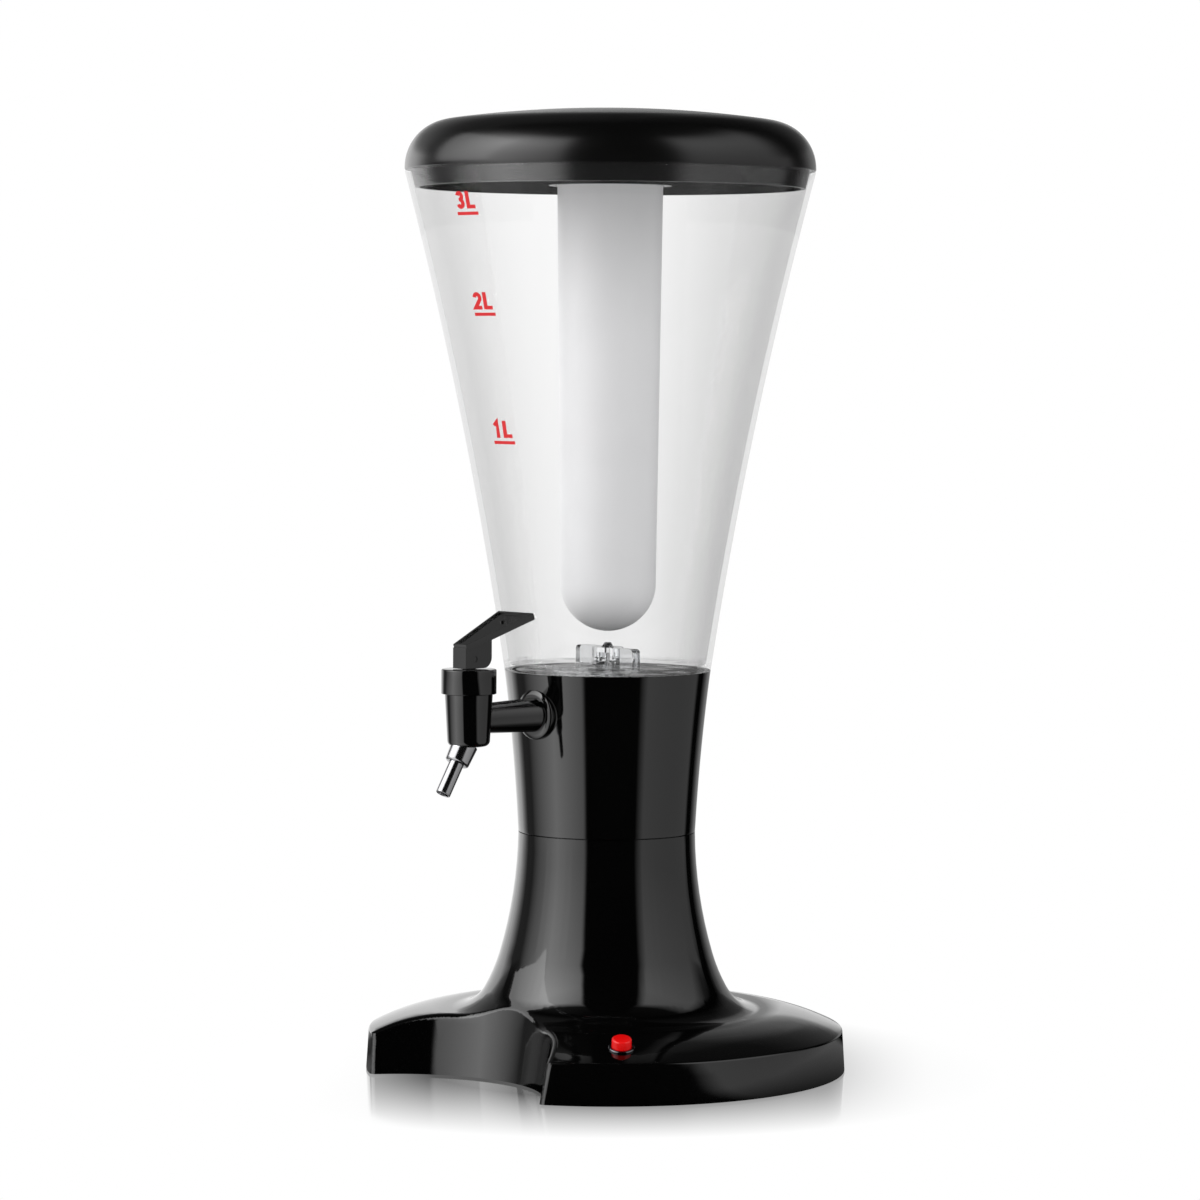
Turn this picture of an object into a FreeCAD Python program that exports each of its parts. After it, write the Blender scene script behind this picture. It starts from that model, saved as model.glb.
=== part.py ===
import FreeCAD, Part
import math
import os
import Sketcher

# Beer tower dispenser: a clear trumpet-shaped vessel on a black neck, with a lever tap, a domed lid
# that carries an ice tube, and a wide round base with a light and its batteries.
# Frame: millimetres, +Z up, origin on the tower's axis at table level, tap towards -Y.

sizes = {
    # walls and clearances
    "wall": 2.4,                  # base shell and neck
    "vessel_wall": 2.4,
    "fit_gap": 0.3,               # between pieces that come apart or move
    "slide_gap": 0.08,            # radial, round a shaft that slides or turns
    "socket_gap": 0.05,           # radial, round a piece held in a socket
    # base outline
    "foot_proud": 0.8,            # rim above the table
    "base_radius": 114.3,
    "crease_radius": 113.1,
    "crease_height": 19.9,
    "dome_radius": 74.0,          # where the dome meets the column's root
    "dome_height": 29.4,
    "dome_curve": 90.0,
    "root_radius": 57.9,
    "root_height": 39.0,
    "flare_radius": 50.8,
    "flare_height": 56.0,
    "column_curve": 216.0,
    "waist_radius": 42.2,
    "seam_height": 113.8,
    # glass notch in the base
    "notch_centre": 133.5,
    "notch_radius": 66.9,
    "notch_draft": 8.6,
    "notch_round": 3.2,
    # underside
    "foot_height": 3.4,
    "foot_radius": 6.5,
    "foot_inset": 14.3,           # from the rim to the middle of a foot
    "plate_thick": 2.2,
    "plate_gap": 0.4,
    "post_inset": 22.3,           # from the rim to the middle of a screw post
    "post_radius": 4.0,
    "screw_radius": 1.5,
    "screw_length": 9.0,
    "screw_head_radius": 3.0,
    "screw_head_height": 1.3,
    "slot_width": 0.8,
    "slot_depth": 0.7,
    # batteries
    "cell_radius": 7.25,
    "cell_length": 50.5,
    "cell_gap": 0.4,
    "cell_nub_radius": 2.7,
    "cell_nub_length": 1.2,
    "box_wall": 1.5,
    "contact_space": 3.0,
    "contact_thick": 0.5,
    "coil_radius": 4.2,
    "coil_tip": 2.0,
    "door_thick": 1.4,
    "door_overlap": 3.0,
    "door_travel": 12.0,
    "rail_lip": 0.8,
    "rail_width": 1.6,
    "grip_pitch": 3.0,
    "grip_height": 0.5,
    # light
    "lens_room": 0.7,             # between the lens and the neck's spigot
    "shelf_thick": 2.5,
    "shelf_radius": 34.0,
    "cup_depth": 11.0,
    "cup_wall": 1.5,
    "board_thick": 1.6,
    "lamp_radius": 2.5,
    "lamp_height": 3.4,
    "lamp_ring": 18.0,
    "lens_thick": 2.5,
    "lens_dome": 1.6,
    # switch
    "switch_inset": 13.3,         # from the crease to the middle of the button
    "switch_angle": -40.3,
    "button_radius": 4.6,
    "button_proud": 5.2,
    "button_travel": 2.0,
    "plunger_radius": 2.0,
    "bezel_wall": 0.7,
    "bezel_flange": 1.2,
    "bezel_proud": 0.9,
    "bezel_depth": 6.0,
    "switch_depth": 9.0,
    "switch_step": 1.0,
    # leads
    "lead_radius": 0.9,
    "lead_bend": 10.0,
    "lead_height": 14.0,
    "lead_start": 24.0,           # x of the lead's way out of the battery box
    "lamp_lead_ring": 22.0,
    "lamp_lead_rise": 40.0,
    # neck
    "neck_radius": 49.1,
    "neck_curve": 1000.0,
    "spigot_depth": 9.0,
    "spigot_wall": 2.2,
    "spigot_step": 4.0,
    # vessel
    "floor_thick": 2.4,
    "vessel_top": 427.2,
    "vessel_radius": 97.3,
    "vessel_curve": 2230.0,
    "skirt_inset": 1.1,
    "skirt_depth": 6.0,
    "skirt_wall": 2.0,
    # drain fitting in the vessel's floor
    "stem_radius": 6.0,
    "hub_radius": 7.5,
    "wing_reach": 22.5,
    "wing_thick": 5.0,
    "wing_height": 8.5,
    "wing_offset": 3.2,
    "nub_radius": 3.0,
    "nub_height": 2.2,
    "drain_bore": 3.6,
    "drain_bore_rise": 6.0,
    "port_radius": 2.0,
    "drain_seal_thick": 1.5,
    "drain_nut_radius": 11.0,
    "drain_nut_height": 4.5,
    "barb_radius": 5.0,
    "barb_length": 4.0,
    "hose_bend": 9.0,
    "hose_reach": 35.0,
    "hose_wall": 2.2,
    # tap
    "tap_height": 172.0,
    "tap_room": 1.0,              # between the tap's nut and the vessel's skirt
    "tap_reach": 89.8,
    "shank_radius": 7.0,
    "shank_root_radius": 8.0,
    "shank_bore": 3.8,
    "shank_barb": 15.0,
    "barb_step": 1.0,
    "flange_radius": 11.8,
    "flange_thick": 2.2,
    "washer_thick": 2.0,
    "tap_nut_radius": 12.0,
    "tap_nut_height": 5.0,
    "body_radius": 11.1,
    "body_foot_radius": 9.9,
    "body_foot": 12.4,            # foot of the body below the shank's axis
    "body_round": 2.8,
    "body_shoulder": 12.0,        # underside of the cap above the shank's axis
    "chamber_radius": 7.2,
    "chamber_floor": 4.6,
    "collar_radius": 12.8,
    "collar_wall": 2.0,
    "cap_height": 11.5,
    "cap_deck": 2.4,
    "thread_height": 6.0,
    "nozzle_tilt": 31.6,
    "nozzle_start": 7.6,
    "nozzle_radius": 3.5,
    "nozzle_wall": 0.7,
    "nozzle_length": 30.5,
    "sleeve_radius": 6.2,
    "sleeve_start": 4.6,
    "sleeve_length": 9.9,
    # valve and lever
    "rod_radius": 2.9,
    "rod_bed": 1.6,               # of the rod in the seat cup's plug
    "seat_gap": 0.15,
    "cup_radius": 5.3,
    "cup_plug": 4.0,
    "cup_skin": 1.1,
    "pin_radius": 1.2,
    "pin_height": 4.6,            # above the cap
    "tongue_thick": 3.6,
    "tongue_over": 2.2,           # above the pin's axis
    "tongue_drop": 2.1,           # below the cap's top
    "lever_gap": 0.3,
    "block_width": 8.8,
    "block_front": 6.0,
    "block_rear": 10.4,
    "block_top": 6.8,
    "block_round": 5.0,
    "slot_front": 4.0,
    "slot_rear": 5.7,
    "slot_top": 3.7,
    "paddle_angle": 21.2,
    "paddle_length": 38.2,
    "paddle_thick": 3.2,
    "paddle_width": 23.7,
    "paddle_rim": 1.5,
    "paddle_recess": 0.8,
    "dimple_radius": 1.3,
    "dimple_run": 28.3,
    # lid
    "lid_top": 456.5,
    "crown_radius": 78.0,
    "crown_curve": 553.0,
    "lid_edge": 1.6,
    "lid_wall": 2.2,
    "plug_depth": 8.2,
    "plug_wall": 2.0,
    "plug_gap": 0.5,
    "deck_thick": 2.0,
    "socket_wall": 2.4,
    "socket_depth": 7.0,
    # ice tube
    "tube_radius": 25.1,
    "tube_end_radius": 22.7,
    "tube_room": 5.4,             # between the tube's end and the drain fitting
    "tube_wall": 2.0,
    "lug_reach": 1.4,
    "lug_height": 2.4,
    "lug_width": 12.5,
    "lip_height": 1.2,
    "stop_width": 2.0,
    "tube_seal": 1.2,
}

doc = FreeCAD.newDocument("BeerTower")
sheet = doc.addObject("Spreadsheet::Sheet", "Sizes")
for row, (alias, number) in enumerate(sizes.items(), 1):
    sheet.set("A%d" % row, alias)
    sheet.set("B%d" % row, str(number))
    sheet.setAlias("B%d" % row, alias)
doc.recompute()


class Size:
    """A length or angle worked out from the sheet: the text binds it, the number is what it gives now."""

    def __init__(self, text, number):
        self.text = text
        self.number = number

    def __add__(self, other):
        other = as_size(other)
        return Size("(%s + %s)" % (self.text, other.text), self.number + other.number)

    def __sub__(self, other):
        other = as_size(other)
        return Size("(%s - %s)" % (self.text, other.text), self.number - other.number)

    def __mul__(self, other):
        other = as_size(other)
        return Size("(%s * %s)" % (self.text, other.text), self.number * other.number)

    def __truediv__(self, other):
        other = as_size(other)
        return Size("(%s / %s)" % (self.text, other.text), self.number / other.number)

    def __neg__(self):
        return self * -1


def as_size(value):
    return value if isinstance(value, Size) else Size("(%r)" % value, value)


def cell(alias):
    return Size("Sizes." + alias, float(sheet.get(alias)))


def sine(angle):
    return Size("sin(%s * 1 deg)" % angle.text, math.sin(math.radians(angle.number)))


def cosine(angle):
    return Size("cos(%s * 1 deg)" % angle.text, math.cos(math.radians(angle.number)))


def tangent(angle):
    return Size("tan(%s * 1 deg)" % angle.text, math.tan(math.radians(angle.number)))


def arcsine(ratio):
    return Size("(asin(%s) / 1 deg)" % ratio.text, math.degrees(math.asin(ratio.number)))


def root(square):
    return Size("sqrt(%s)" % square.text, math.sqrt(square.number))


def arc_reach(x_from, y_from, x_to, y_to, radius, y_at):
    """x at height y_at on the arc between two points, bulging towards the axis."""
    chord = root((x_to - x_from) * (x_to - x_from) + (y_to - y_from) * (y_to - y_from))
    depth = root(radius * radius - chord * chord / 4)
    x_centre = (x_from + x_to) / 2 + (y_to - y_from) / chord * depth
    y_centre = (y_from + y_to) / 2 - (x_to - x_from) / chord * depth
    return x_centre - root(radius * radius - (y_at - y_centre) * (y_at - y_centre))


def bind(piece, name, value):
    piece.setExpression(name, as_size(value).text)


def place(piece, at, turn=None):
    """Puts a piece at a point, turned about an axis by an angle in degrees."""
    if turn:
        axis, angle = turn
        piece.Placement.Rotation = FreeCAD.Rotation(FreeCAD.Vector(*axis), as_size(angle).number)
        bind(piece, "Placement.Rotation.Angle", angle)
    for letter, value in zip("xyz", at):
        bind(piece, "Placement.Base." + letter, value)
    return piece


def cylinder(name, radius, height, at=(0, 0, 0), turn=None):
    piece = doc.addObject("Part::Cylinder", name)
    bind(piece, "Radius", radius)
    bind(piece, "Height", height)
    return place(piece, at, turn)


def cone(name, foot, top, height, at=(0, 0, 0), turn=None):
    piece = doc.addObject("Part::Cone", name)
    bind(piece, "Radius1", foot)
    bind(piece, "Radius2", top)
    bind(piece, "Height", height)
    return place(piece, at, turn)


def box(name, low, high, at=(0, 0, 0)):
    """A box between two corners, given from the point it is placed at."""
    piece = doc.addObject("Part::Box", name)
    for side, start, end in zip(("Length", "Width", "Height"), low, high):
        bind(piece, side, as_size(end) - start)
    return place(piece, [as_size(base) + start for base, start in zip(at, low)])


def fuse(name, *shapes):
    piece = doc.addObject("Part::MultiFuse", name)
    piece.Shapes = list(shapes)
    return piece


def cut(name, base, *tools):
    piece = doc.addObject("Part::Cut", name)
    piece.Base = base
    piece.Tool = tools[0] if len(tools) == 1 else fuse(name + "_tools", *tools)
    return piece


def common(name, *shapes):
    piece = doc.addObject("Part::MultiCommon", name)
    piece.Shapes = list(shapes)
    return piece


def edge_between(here, there, shape, heading):
    """The edge from one corner to the next: its curve, whether it runs backwards, and how it leaves."""
    run = there - here
    if shape is None:
        return Part.LineSegment(here, there), False, FreeCAD.Vector(run).normalize()
    if shape == "tangent":
        left = FreeCAD.Vector(-heading.y, heading.x, 0)
        centre = here + left * (run.Length ** 2 / (2 * run.dot(left)))
    else:
        radius = as_size(shape).number
        left = FreeCAD.Vector(-run.y, run.x, 0).normalize()
        depth = math.sqrt(radius ** 2 - run.Length ** 2 / 4)
        centre = (here + there) / 2 + left * math.copysign(depth, radius)
    backwards = (here - centre).cross(there - centre).z < 0
    first, last = (there, here) if backwards else (here, there)
    angles = [math.atan2(end.y - centre.y, end.x - centre.x) for end in (first, last)]
    circle = Part.Circle(centre, FreeCAD.Vector(0, 0, 1), (here - centre).Length)
    spoke = (there - centre).normalize()
    way = FreeCAD.Vector(-spoke.y, spoke.x, 0) * (-1 if backwards else 1)
    return Part.ArcOfCircle(circle, *angles), backwards, way


def outline(body, name, plane, corners, lift=None):
    """A sketch of one closed outline. A corner is (x, y), or (x, y, radius) where an arc leads to the next
    corner, with its centre on the left, or on the right of a negative radius, or (x, y, "tangent")."""
    sketch = body.newObject("Sketcher::SketchObject", name)
    base = [feature for feature in body.Origin.OriginFeatures if feature.Role == plane][0]
    sketch.AttachmentSupport = [(base, "")]
    sketch.MapMode = "FlatFace"
    if lift is not None:
        bind(sketch, "AttachmentOffset.Base.z", lift)
    points = [FreeCAD.Vector(as_size(c[0]).number, as_size(c[1]).number, 0) for c in corners]
    ends, heading = [], None
    for i, corner in enumerate(corners):
        shape = corner[2] if len(corner) > 2 else None
        curve, backwards, heading = edge_between(points[i], points[(i + 1) % len(points)], shape, heading)
        edge = sketch.addGeometry(curve)
        ends.append((edge, 2, 1) if backwards else (edge, 1, 2))
        if isinstance(shape, Size):
            held = sketch.addConstraint(Sketcher.Constraint("Radius", edge, abs(shape.number)))
            bind(sketch, "Constraints[%d]" % held, shape if shape.number > 0 else -shape)
    for i, corner in enumerate(corners):
        edge, start, _ = ends[i]
        before, _, end = ends[i - 1]
        smooth = len(corner) > 2 and corner[2] == "tangent"
        joint = "Tangent" if smooth else "Coincident"
        sketch.addConstraint(Sketcher.Constraint(joint, before, end, edge, start))
        for way, axis, value in (("DistanceX", -2, corner[0]), ("DistanceY", -1, corner[1])):
            if isinstance(value, Size):
                held = sketch.addConstraint(Sketcher.Constraint(way, -1, 1, edge, start, value.number))
                bind(sketch, "Constraints[%d]" % held, value)
            else:
                sketch.addConstraint(Sketcher.Constraint("PointOnObject", edge, start, axis))
    return sketch


def circle(body, name, plane, radius, at, lift=None):
    """A sketch of one circle."""
    sketch = body.newObject("Sketcher::SketchObject", name)
    base = [feature for feature in body.Origin.OriginFeatures if feature.Role == plane][0]
    sketch.AttachmentSupport = [(base, "")]
    sketch.MapMode = "FlatFace"
    if lift is not None:
        bind(sketch, "AttachmentOffset.Base.z", lift)
    centre = FreeCAD.Vector(as_size(at[0]).number, as_size(at[1]).number, 0)
    ring = sketch.addGeometry(Part.Circle(centre, FreeCAD.Vector(0, 0, 1), radius.number))
    held = sketch.addConstraint(Sketcher.Constraint("Radius", ring, radius.number))
    bind(sketch, "Constraints[%d]" % held, radius)
    for way, axis, value in (("DistanceX", -2, at[0]), ("DistanceY", -1, at[1])):
        if isinstance(value, Size):
            held = sketch.addConstraint(Sketcher.Constraint(way, -1, 1, ring, 3, value.number))
            bind(sketch, "Constraints[%d]" % held, value)
        else:
            sketch.addConstraint(Sketcher.Constraint("PointOnObject", ring, 3, axis))
    return sketch


def turn_about_axis(body, name, corners):
    sketch = outline(body, name + "_outline", "XZ_Plane", corners)
    turned = body.newObject("PartDesign::Revolution", name)
    turned.Profile = sketch
    turned.ReferenceAxis = (sketch, ["V_Axis"])
    turned.Angle = 360
    return turned


def revolved(name, *corners):
    body = doc.addObject("PartDesign::Body", name)
    turn_about_axis(body, name + "_turned", corners)
    return body


def extruded(name, plane, depth, corners, lift=None):
    """A body of one outline, half its depth to each side of the plane."""
    body = doc.addObject("PartDesign::Body", name)
    pad = body.newObject("PartDesign::Pad", name + "_pad")
    pad.Profile = outline(body, name + "_outline", plane, corners, lift)
    pad.SideType = "Symmetric"
    bind(pad, "Length", depth)
    return body


pieces = []


def keep(name, piece):
    """Marks a finished piece and gives it the name of its file."""
    piece.Label = name
    pieces.append(piece)
    return piece


# ---- sizes that neighbouring pieces share ----

wall = cell("wall")
fit_gap = cell("fit_gap")
socket_gap = cell("socket_gap")
waist = cell("waist_radius")
seam = cell("seam_height")
rim_foot = cell("foot_proud")
plate_low = cell("foot_height")
plate_high = plate_low + cell("plate_thick")


def faces_at(shape, height):
    """Names of the level faces at a height."""
    return ["Face%d" % i for i, face in enumerate(shape.Faces, 1)
            if face.BoundBox.ZLength < 1e-6 and abs(face.BoundBox.ZMin - height.number) < 1e-6]


def on_ring(radius, degrees):
    """The point on a ring about the tower's axis, counted from +X."""
    return radius * cosine(degrees), radius * sine(degrees)


# ---- base shell ----


def notch_edges(shape):
    """Names of the edges round the glass notch, all but the one at its foot."""
    names = []
    for i, edge in enumerate(shape.Edges, 1):
        ends = [edge.valueAt(edge.FirstParameter), edge.valueAt(edge.LastParameter)]
        off_wall = [math.hypot(end.x, end.y + cell("notch_centre").number) - cell("notch_radius").number
                    - (tangent(cell("notch_draft")) * (end.z - rim_foot.number)).number for end in ends]
        if edge.BoundBox.ZLength > 1e-6 and max(abs(off) for off in off_wall) < 0.01:
            names.append("Edge%d" % i)
    return names


base_body = doc.addObject("PartDesign::Body", "BaseBody")
turn_about_axis(base_body, "base_solid", [
    (waist, seam, cell("column_curve")),
    (cell("flare_radius"), cell("flare_height"), "tangent"),
    (cell("root_radius"), cell("root_height"), "tangent"),
    (cell("dome_radius"), cell("dome_height"), -cell("dome_curve")),
    (cell("crease_radius"), cell("crease_height")),
    (cell("base_radius"), rim_foot),
    (0, rim_foot),
    (0, seam),
])
glass_notch = base_body.newObject("PartDesign::Pocket", "glass_notch")
glass_notch.Profile = circle(base_body, "notch_outline", "XY_Plane", cell("notch_radius"),
                             (0, -cell("notch_centre")), rim_foot)
glass_notch.Reversed = True
bind(glass_notch, "Length", seam)
bind(glass_notch, "TaperAngle", cell("notch_draft"))
doc.recompute()

base_hollow = base_body.newObject("PartDesign::Thickness", "base_hollow")
base_hollow.Base = (glass_notch, faces_at(glass_notch.Shape, rim_foot) + faces_at(glass_notch.Shape, seam))
bind(base_hollow, "Value", wall)
base_hollow.Reversed = True
base_hollow.Join = "Intersection"

shelf_high = (seam - cell("spigot_depth") - cell("lens_room") - cell("lens_dome") - cell("lens_thick")
              - cell("cup_wall"))
shelf_low = shelf_high - cell("shelf_thick")
shelf_out = arc_reach(cell("flare_radius"), cell("flare_height"), waist, seam, cell("column_curve"),
                      shelf_low) - wall / 2
lamp_shelf = turn_about_axis(base_body, "lamp_shelf", [
    (cell("shelf_radius"), shelf_low),
    (shelf_out, shelf_low),
    (shelf_out, shelf_high),
    (cell("shelf_radius"), shelf_high),
])
doc.recompute()

notch_rounds = base_body.newObject("PartDesign::Fillet", "notch_rounds")
notch_rounds.Base = (lamp_shelf, notch_edges(lamp_shelf.Shape))
bind(notch_rounds, "Radius", cell("notch_round"))

# the dome's arc, from the column's root to the crease
dome_run = cell("crease_radius") - cell("dome_radius")
dome_drop = cell("dome_height") - cell("crease_height")
dome_chord = root(dome_run * dome_run + dome_drop * dome_drop)
dome_deep = root(cell("dome_curve") * cell("dome_curve") - dome_chord * dome_chord / 4)
dome_centre = cell("dome_radius") + dome_run / 2 - dome_drop / dome_chord * dome_deep
dome_under = cell("crease_height") + dome_drop / 2 - dome_run / dome_chord * dome_deep


def dome_at(radius):
    """Height of the dome above the table at a distance from the tower's axis."""
    out = radius - dome_centre
    return dome_under + root(cell("dome_curve") * cell("dome_curve") - out * out)


# the switch stands square to the dome, on its own frame
switch_ring = cell("crease_radius") - cell("switch_inset")
switch_angle = cell("switch_angle")
switch_x, switch_y = on_ring(switch_ring, switch_angle)
switch_z = dome_at(switch_ring)
lean = arcsine((switch_ring - dome_centre) / cell("dome_curve"))
lean_axis = (-math.sin(math.radians(switch_angle.number)), math.cos(math.radians(switch_angle.number)), 0)


def at_switch(piece):
    """Moves a piece made about +Z to the switch: turned outwards with the dome's slope."""
    piece.Placement.Rotation = FreeCAD.Rotation(FreeCAD.Vector(*lean_axis), lean.number)
    piece.setExpression("Placement.Rotation.Angle", lean.text)
    for letter, value in zip("xyz", (switch_x, switch_y, switch_z)):
        bind(piece, "Placement.Base." + letter, value)
    return piece


bezel_radius = cell("button_radius") + fit_gap
barrel_radius = bezel_radius + cell("bezel_wall")
switch_hole = at_switch(extruded("switch_hole", "XY_Plane", wall * 6, [
    (barrel_radius, 0, barrel_radius), (0, barrel_radius, barrel_radius),
    (-barrel_radius, 0, barrel_radius), (0, -barrel_radius, barrel_radius)]))

post_angles = [1.5, 60.5, 119.5, 178.5]
post_ring = cell("base_radius") - cell("post_inset")
post_high = dome_at(post_ring) - wall / 2
posts, pilots = [], []
for i, degrees in enumerate(post_angles):
    x, y = on_ring(post_ring, as_size(degrees))
    posts.append(cylinder("post%d" % i, cell("post_radius"), post_high - plate_high, (x, y, plate_high)))
    pilots.append(cylinder("pilot%d" % i, cell("screw_radius") + socket_gap,
                           cell("screw_length"), (x, y, plate_low)))
base_shell = keep("base_shell", cut("base_shell_cut", fuse("base_with_posts", base_body, *posts),
                                    switch_hole, *pilots))

# ---- base plate, feet and screws ----

cell_pitch = cell("cell_radius") * 2 + cell("cell_gap")
bay_x = cell("cell_length") / 2 + cell("contact_space")
bay_y = cell_pitch * 1.5 + cell("cell_gap") / 2
door_x = bay_x + cell("door_overlap")
door_y = bay_y + cell("door_overlap")
door_high = plate_low - fit_gap
door_low = door_high - cell("door_thick")
rail_high = door_low - fit_gap
rail_out = door_y + fit_gap + cell("rail_width")
rail_end = door_x + cell("door_travel")

rim_slope = (cell("base_radius") - cell("crease_radius")) / (cell("crease_height") - rim_foot)
plate_reach = cell("base_radius") - wall - cell("plate_gap")
plate_disc = cone("plate_disc", plate_reach - rim_slope * (plate_low - rim_foot),
                  plate_reach - rim_slope * (plate_high - rim_foot), cell("plate_thick"), (0, 0, plate_low))
plate_notch = cylinder("plate_notch", cell("notch_radius") + wall + cell("plate_gap")
                       + tangent(cell("notch_draft")) * plate_high,
                       cell("plate_thick") * 3, (0, -cell("notch_centre"), plate_low - cell("plate_thick")))
plate_bay = box("plate_bay", (-bay_x, -bay_y, plate_low - wall), (bay_x, bay_y, plate_high + wall))
rails = []
lip_out = cell("rail_width")
for side, low, high, lip_low, lip_high in (
        ("right", door_y + fit_gap, rail_out, door_y + fit_gap - lip_out, rail_out),
        ("left", -rail_out, -door_y - fit_gap, -rail_out, lip_out - door_y - fit_gap)):
    rails.append(box("rail_" + side, (-door_x, low, rail_high), (rail_end, high, plate_low)))
    rails.append(box("lip_" + side, (-door_x, lip_low, rail_high - cell("rail_lip")),
                     (rail_end, lip_high, rail_high)))
plate_holes = []
for i, degrees in enumerate(post_angles):
    x, y = on_ring(post_ring, as_size(degrees))
    plate_holes.append(cylinder("plate_hole%d" % i, cell("screw_radius") + fit_gap,
                                cell("plate_thick") * 2, (x, y, plate_low)))
    plate_holes.append(cylinder("head_hole%d" % i, cell("screw_head_radius") + fit_gap,
                                cell("screw_head_height"), (x, y, plate_low)))
base_plate = keep("base_plate", cut("base_plate_cut", fuse("plate_with_rails", plate_disc, *rails),
                                    plate_notch, plate_bay, *plate_holes))

foot_angles = [-28.0, 31.0, 90.0, 149.0, 208.0]
feet = []
for i, degrees in enumerate(foot_angles):
    x, y = on_ring(cell("base_radius") - cell("foot_inset"), as_size(degrees))
    feet.append(cylinder("foot%d" % i, cell("foot_radius"), plate_low, (x, y, 0)))
rubber_feet = keep("rubber_feet", fuse("rubber_feet_group", *feet))

screws = []
slot_half = cell("slot_width") / 2
for i, degrees in enumerate(post_angles):
    x, y = on_ring(post_ring, as_size(degrees))
    head = cylinder("screw_head%d" % i, cell("screw_head_radius"), cell("screw_head_height"),
                    (x, y, plate_low))
    shaft = cylinder("screw_shaft%d" % i, cell("screw_radius"), cell("screw_length") - fit_gap,
                     (x, y, plate_low))
    slot = box("screw_slot%d" % i, (-cell("screw_radius"), -slot_half, 0),
               (cell("screw_radius"), slot_half, cell("slot_depth")), (x, y, plate_low))
    cross = box("screw_cross%d" % i, (-slot_half, -cell("screw_radius"), 0),
                (slot_half, cell("screw_radius"), cell("slot_depth")), (x, y, plate_low))
    screws.append(cut("screw%d" % i, fuse("screw_blank%d" % i, head, shaft), slot, cross))
plate_screws = keep("plate_screws", fuse("plate_screws_group", *screws))

# ---- batteries ----

cell_z = plate_low + cell("cell_gap") + cell("cell_radius")
bay_top = cell_z + cell("cell_radius") + cell("cell_gap")
box_wall = cell("box_wall")
battery_box = keep("battery_box", cut(
    "battery_box_cut",
    box("box_outside", (-bay_x - box_wall, -bay_y - box_wall, plate_high),
        (bay_x + box_wall, bay_y + box_wall, bay_top + box_wall)),
    box("box_inside", (-bay_x, -bay_y, plate_high - box_wall), (bay_x, bay_y, bay_top))))

nub_length, nub_radius = cell("cell_nub_length"), cell("cell_nub_radius")
coil_tip = cell("coil_tip")
cells, contacts = [], []
half_cell = cell("cell_length") / 2
spring_length = cell("contact_space") - cell("contact_thick")
for i, row in enumerate((-1, 0, 1)):
    way = 1 if row == 0 else -1
    y = cell_pitch * row
    can_start = -half_cell if way > 0 else -half_cell + nub_length
    cells.append(cylinder("can%d" % i, cell("cell_radius"), half_cell * 2 - nub_length,
                          (can_start, y, cell_z), ((0, 1, 0), 90)))
    nub_start = half_cell - nub_length if way > 0 else -half_cell
    cells.append(cylinder("nub%d" % i, nub_radius, nub_length, (nub_start, y, cell_z), ((0, 1, 0), 90)))
    for side, turn in ((1, -90), (-1, 90)):
        thin, wide = (coil_tip * 0.8, coil_tip * 1.1) if side == way else (coil_tip, cell("coil_radius"))
        contacts.append(fuse(
            "contact%d_%d" % (i, side + 1),
            box("strip%d_%d" % (i, side + 1),
                (0, cell("cell_radius") * -0.8, cell("cell_radius") * -0.8),
                (cell("contact_thick"), cell("cell_radius") * 0.8, cell("cell_radius") * 0.8),
                (bay_x - cell("contact_thick") if side > 0 else -bay_x, y, cell_z)),
            cone("spring%d_%d" % (i, side + 1), wide, thin, spring_length,
                 ((bay_x - cell("contact_thick")) * side, y, cell_z), ((0, 1, 0), turn))))
battery_cells = keep("battery_cells", fuse("battery_cells_group", *cells))
battery_contacts = keep("battery_contacts", fuse("battery_contacts_group", *contacts))

grip_pitch = cell("grip_pitch")
grips = [box("grip%d" % i, (door_x - grip_pitch * (i + 2), -door_y / 3, door_low - cell("grip_height")),
             (door_x - grip_pitch * (i + 2) + grip_pitch / 3, door_y / 3, door_low)) for i in range(3)]
battery_door = keep("battery_door", fuse(
    "battery_door_fuse", box("door_leaf", (-door_x, -door_y, door_low), (door_x, door_y, door_high)), *grips))

# ---- light in the column ----

column_bore = waist - wall
lamp_flange = column_bore - fit_gap
cup_out = cell("shelf_radius") - fit_gap
cup_wall = cell("cup_wall")
cup_low = shelf_high - cell("cup_depth")
lamp_cup = keep("lamp_cup", revolved(
    "LampCup",
    (0, cup_low), (cup_out, cup_low), (cup_out, shelf_high), (lamp_flange, shelf_high),
    (lamp_flange, shelf_high + cup_wall), (cup_out - cup_wall, shelf_high + cup_wall),
    (cup_out - cup_wall, cup_low + cup_wall), (0, cup_low + cup_wall)))

board_low = cup_low + cup_wall
lamp_board = keep("lamp_board", cylinder("lamp_board_disc", cup_out - cup_wall - fit_gap, cell("board_thick"),
                                         (0, 0, board_low)))
board_high = board_low + cell("board_thick")
lamps = []
for i in range(7):
    ring = cell("lamp_ring") if i else as_size(0)
    x, y = on_ring(ring, as_size(60.0 * i))
    dome_z = board_high + cell("lamp_height") - cell("lamp_radius")
    bulb = doc.addObject("Part::Sphere", "bulb%d" % i)
    bind(bulb, "Radius", cell("lamp_radius"))
    place(bulb, (x, y, dome_z))
    bulb.Angle1 = 0
    lamps.append(fuse("lamp%d" % i, bulb, cylinder("lamp_can%d" % i, cell("lamp_radius"), dome_z - board_high,
                                                   (x, y, board_high))))
lamp_bulbs = keep("lamp_bulbs", fuse("lamp_bulbs_group", *lamps))

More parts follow.
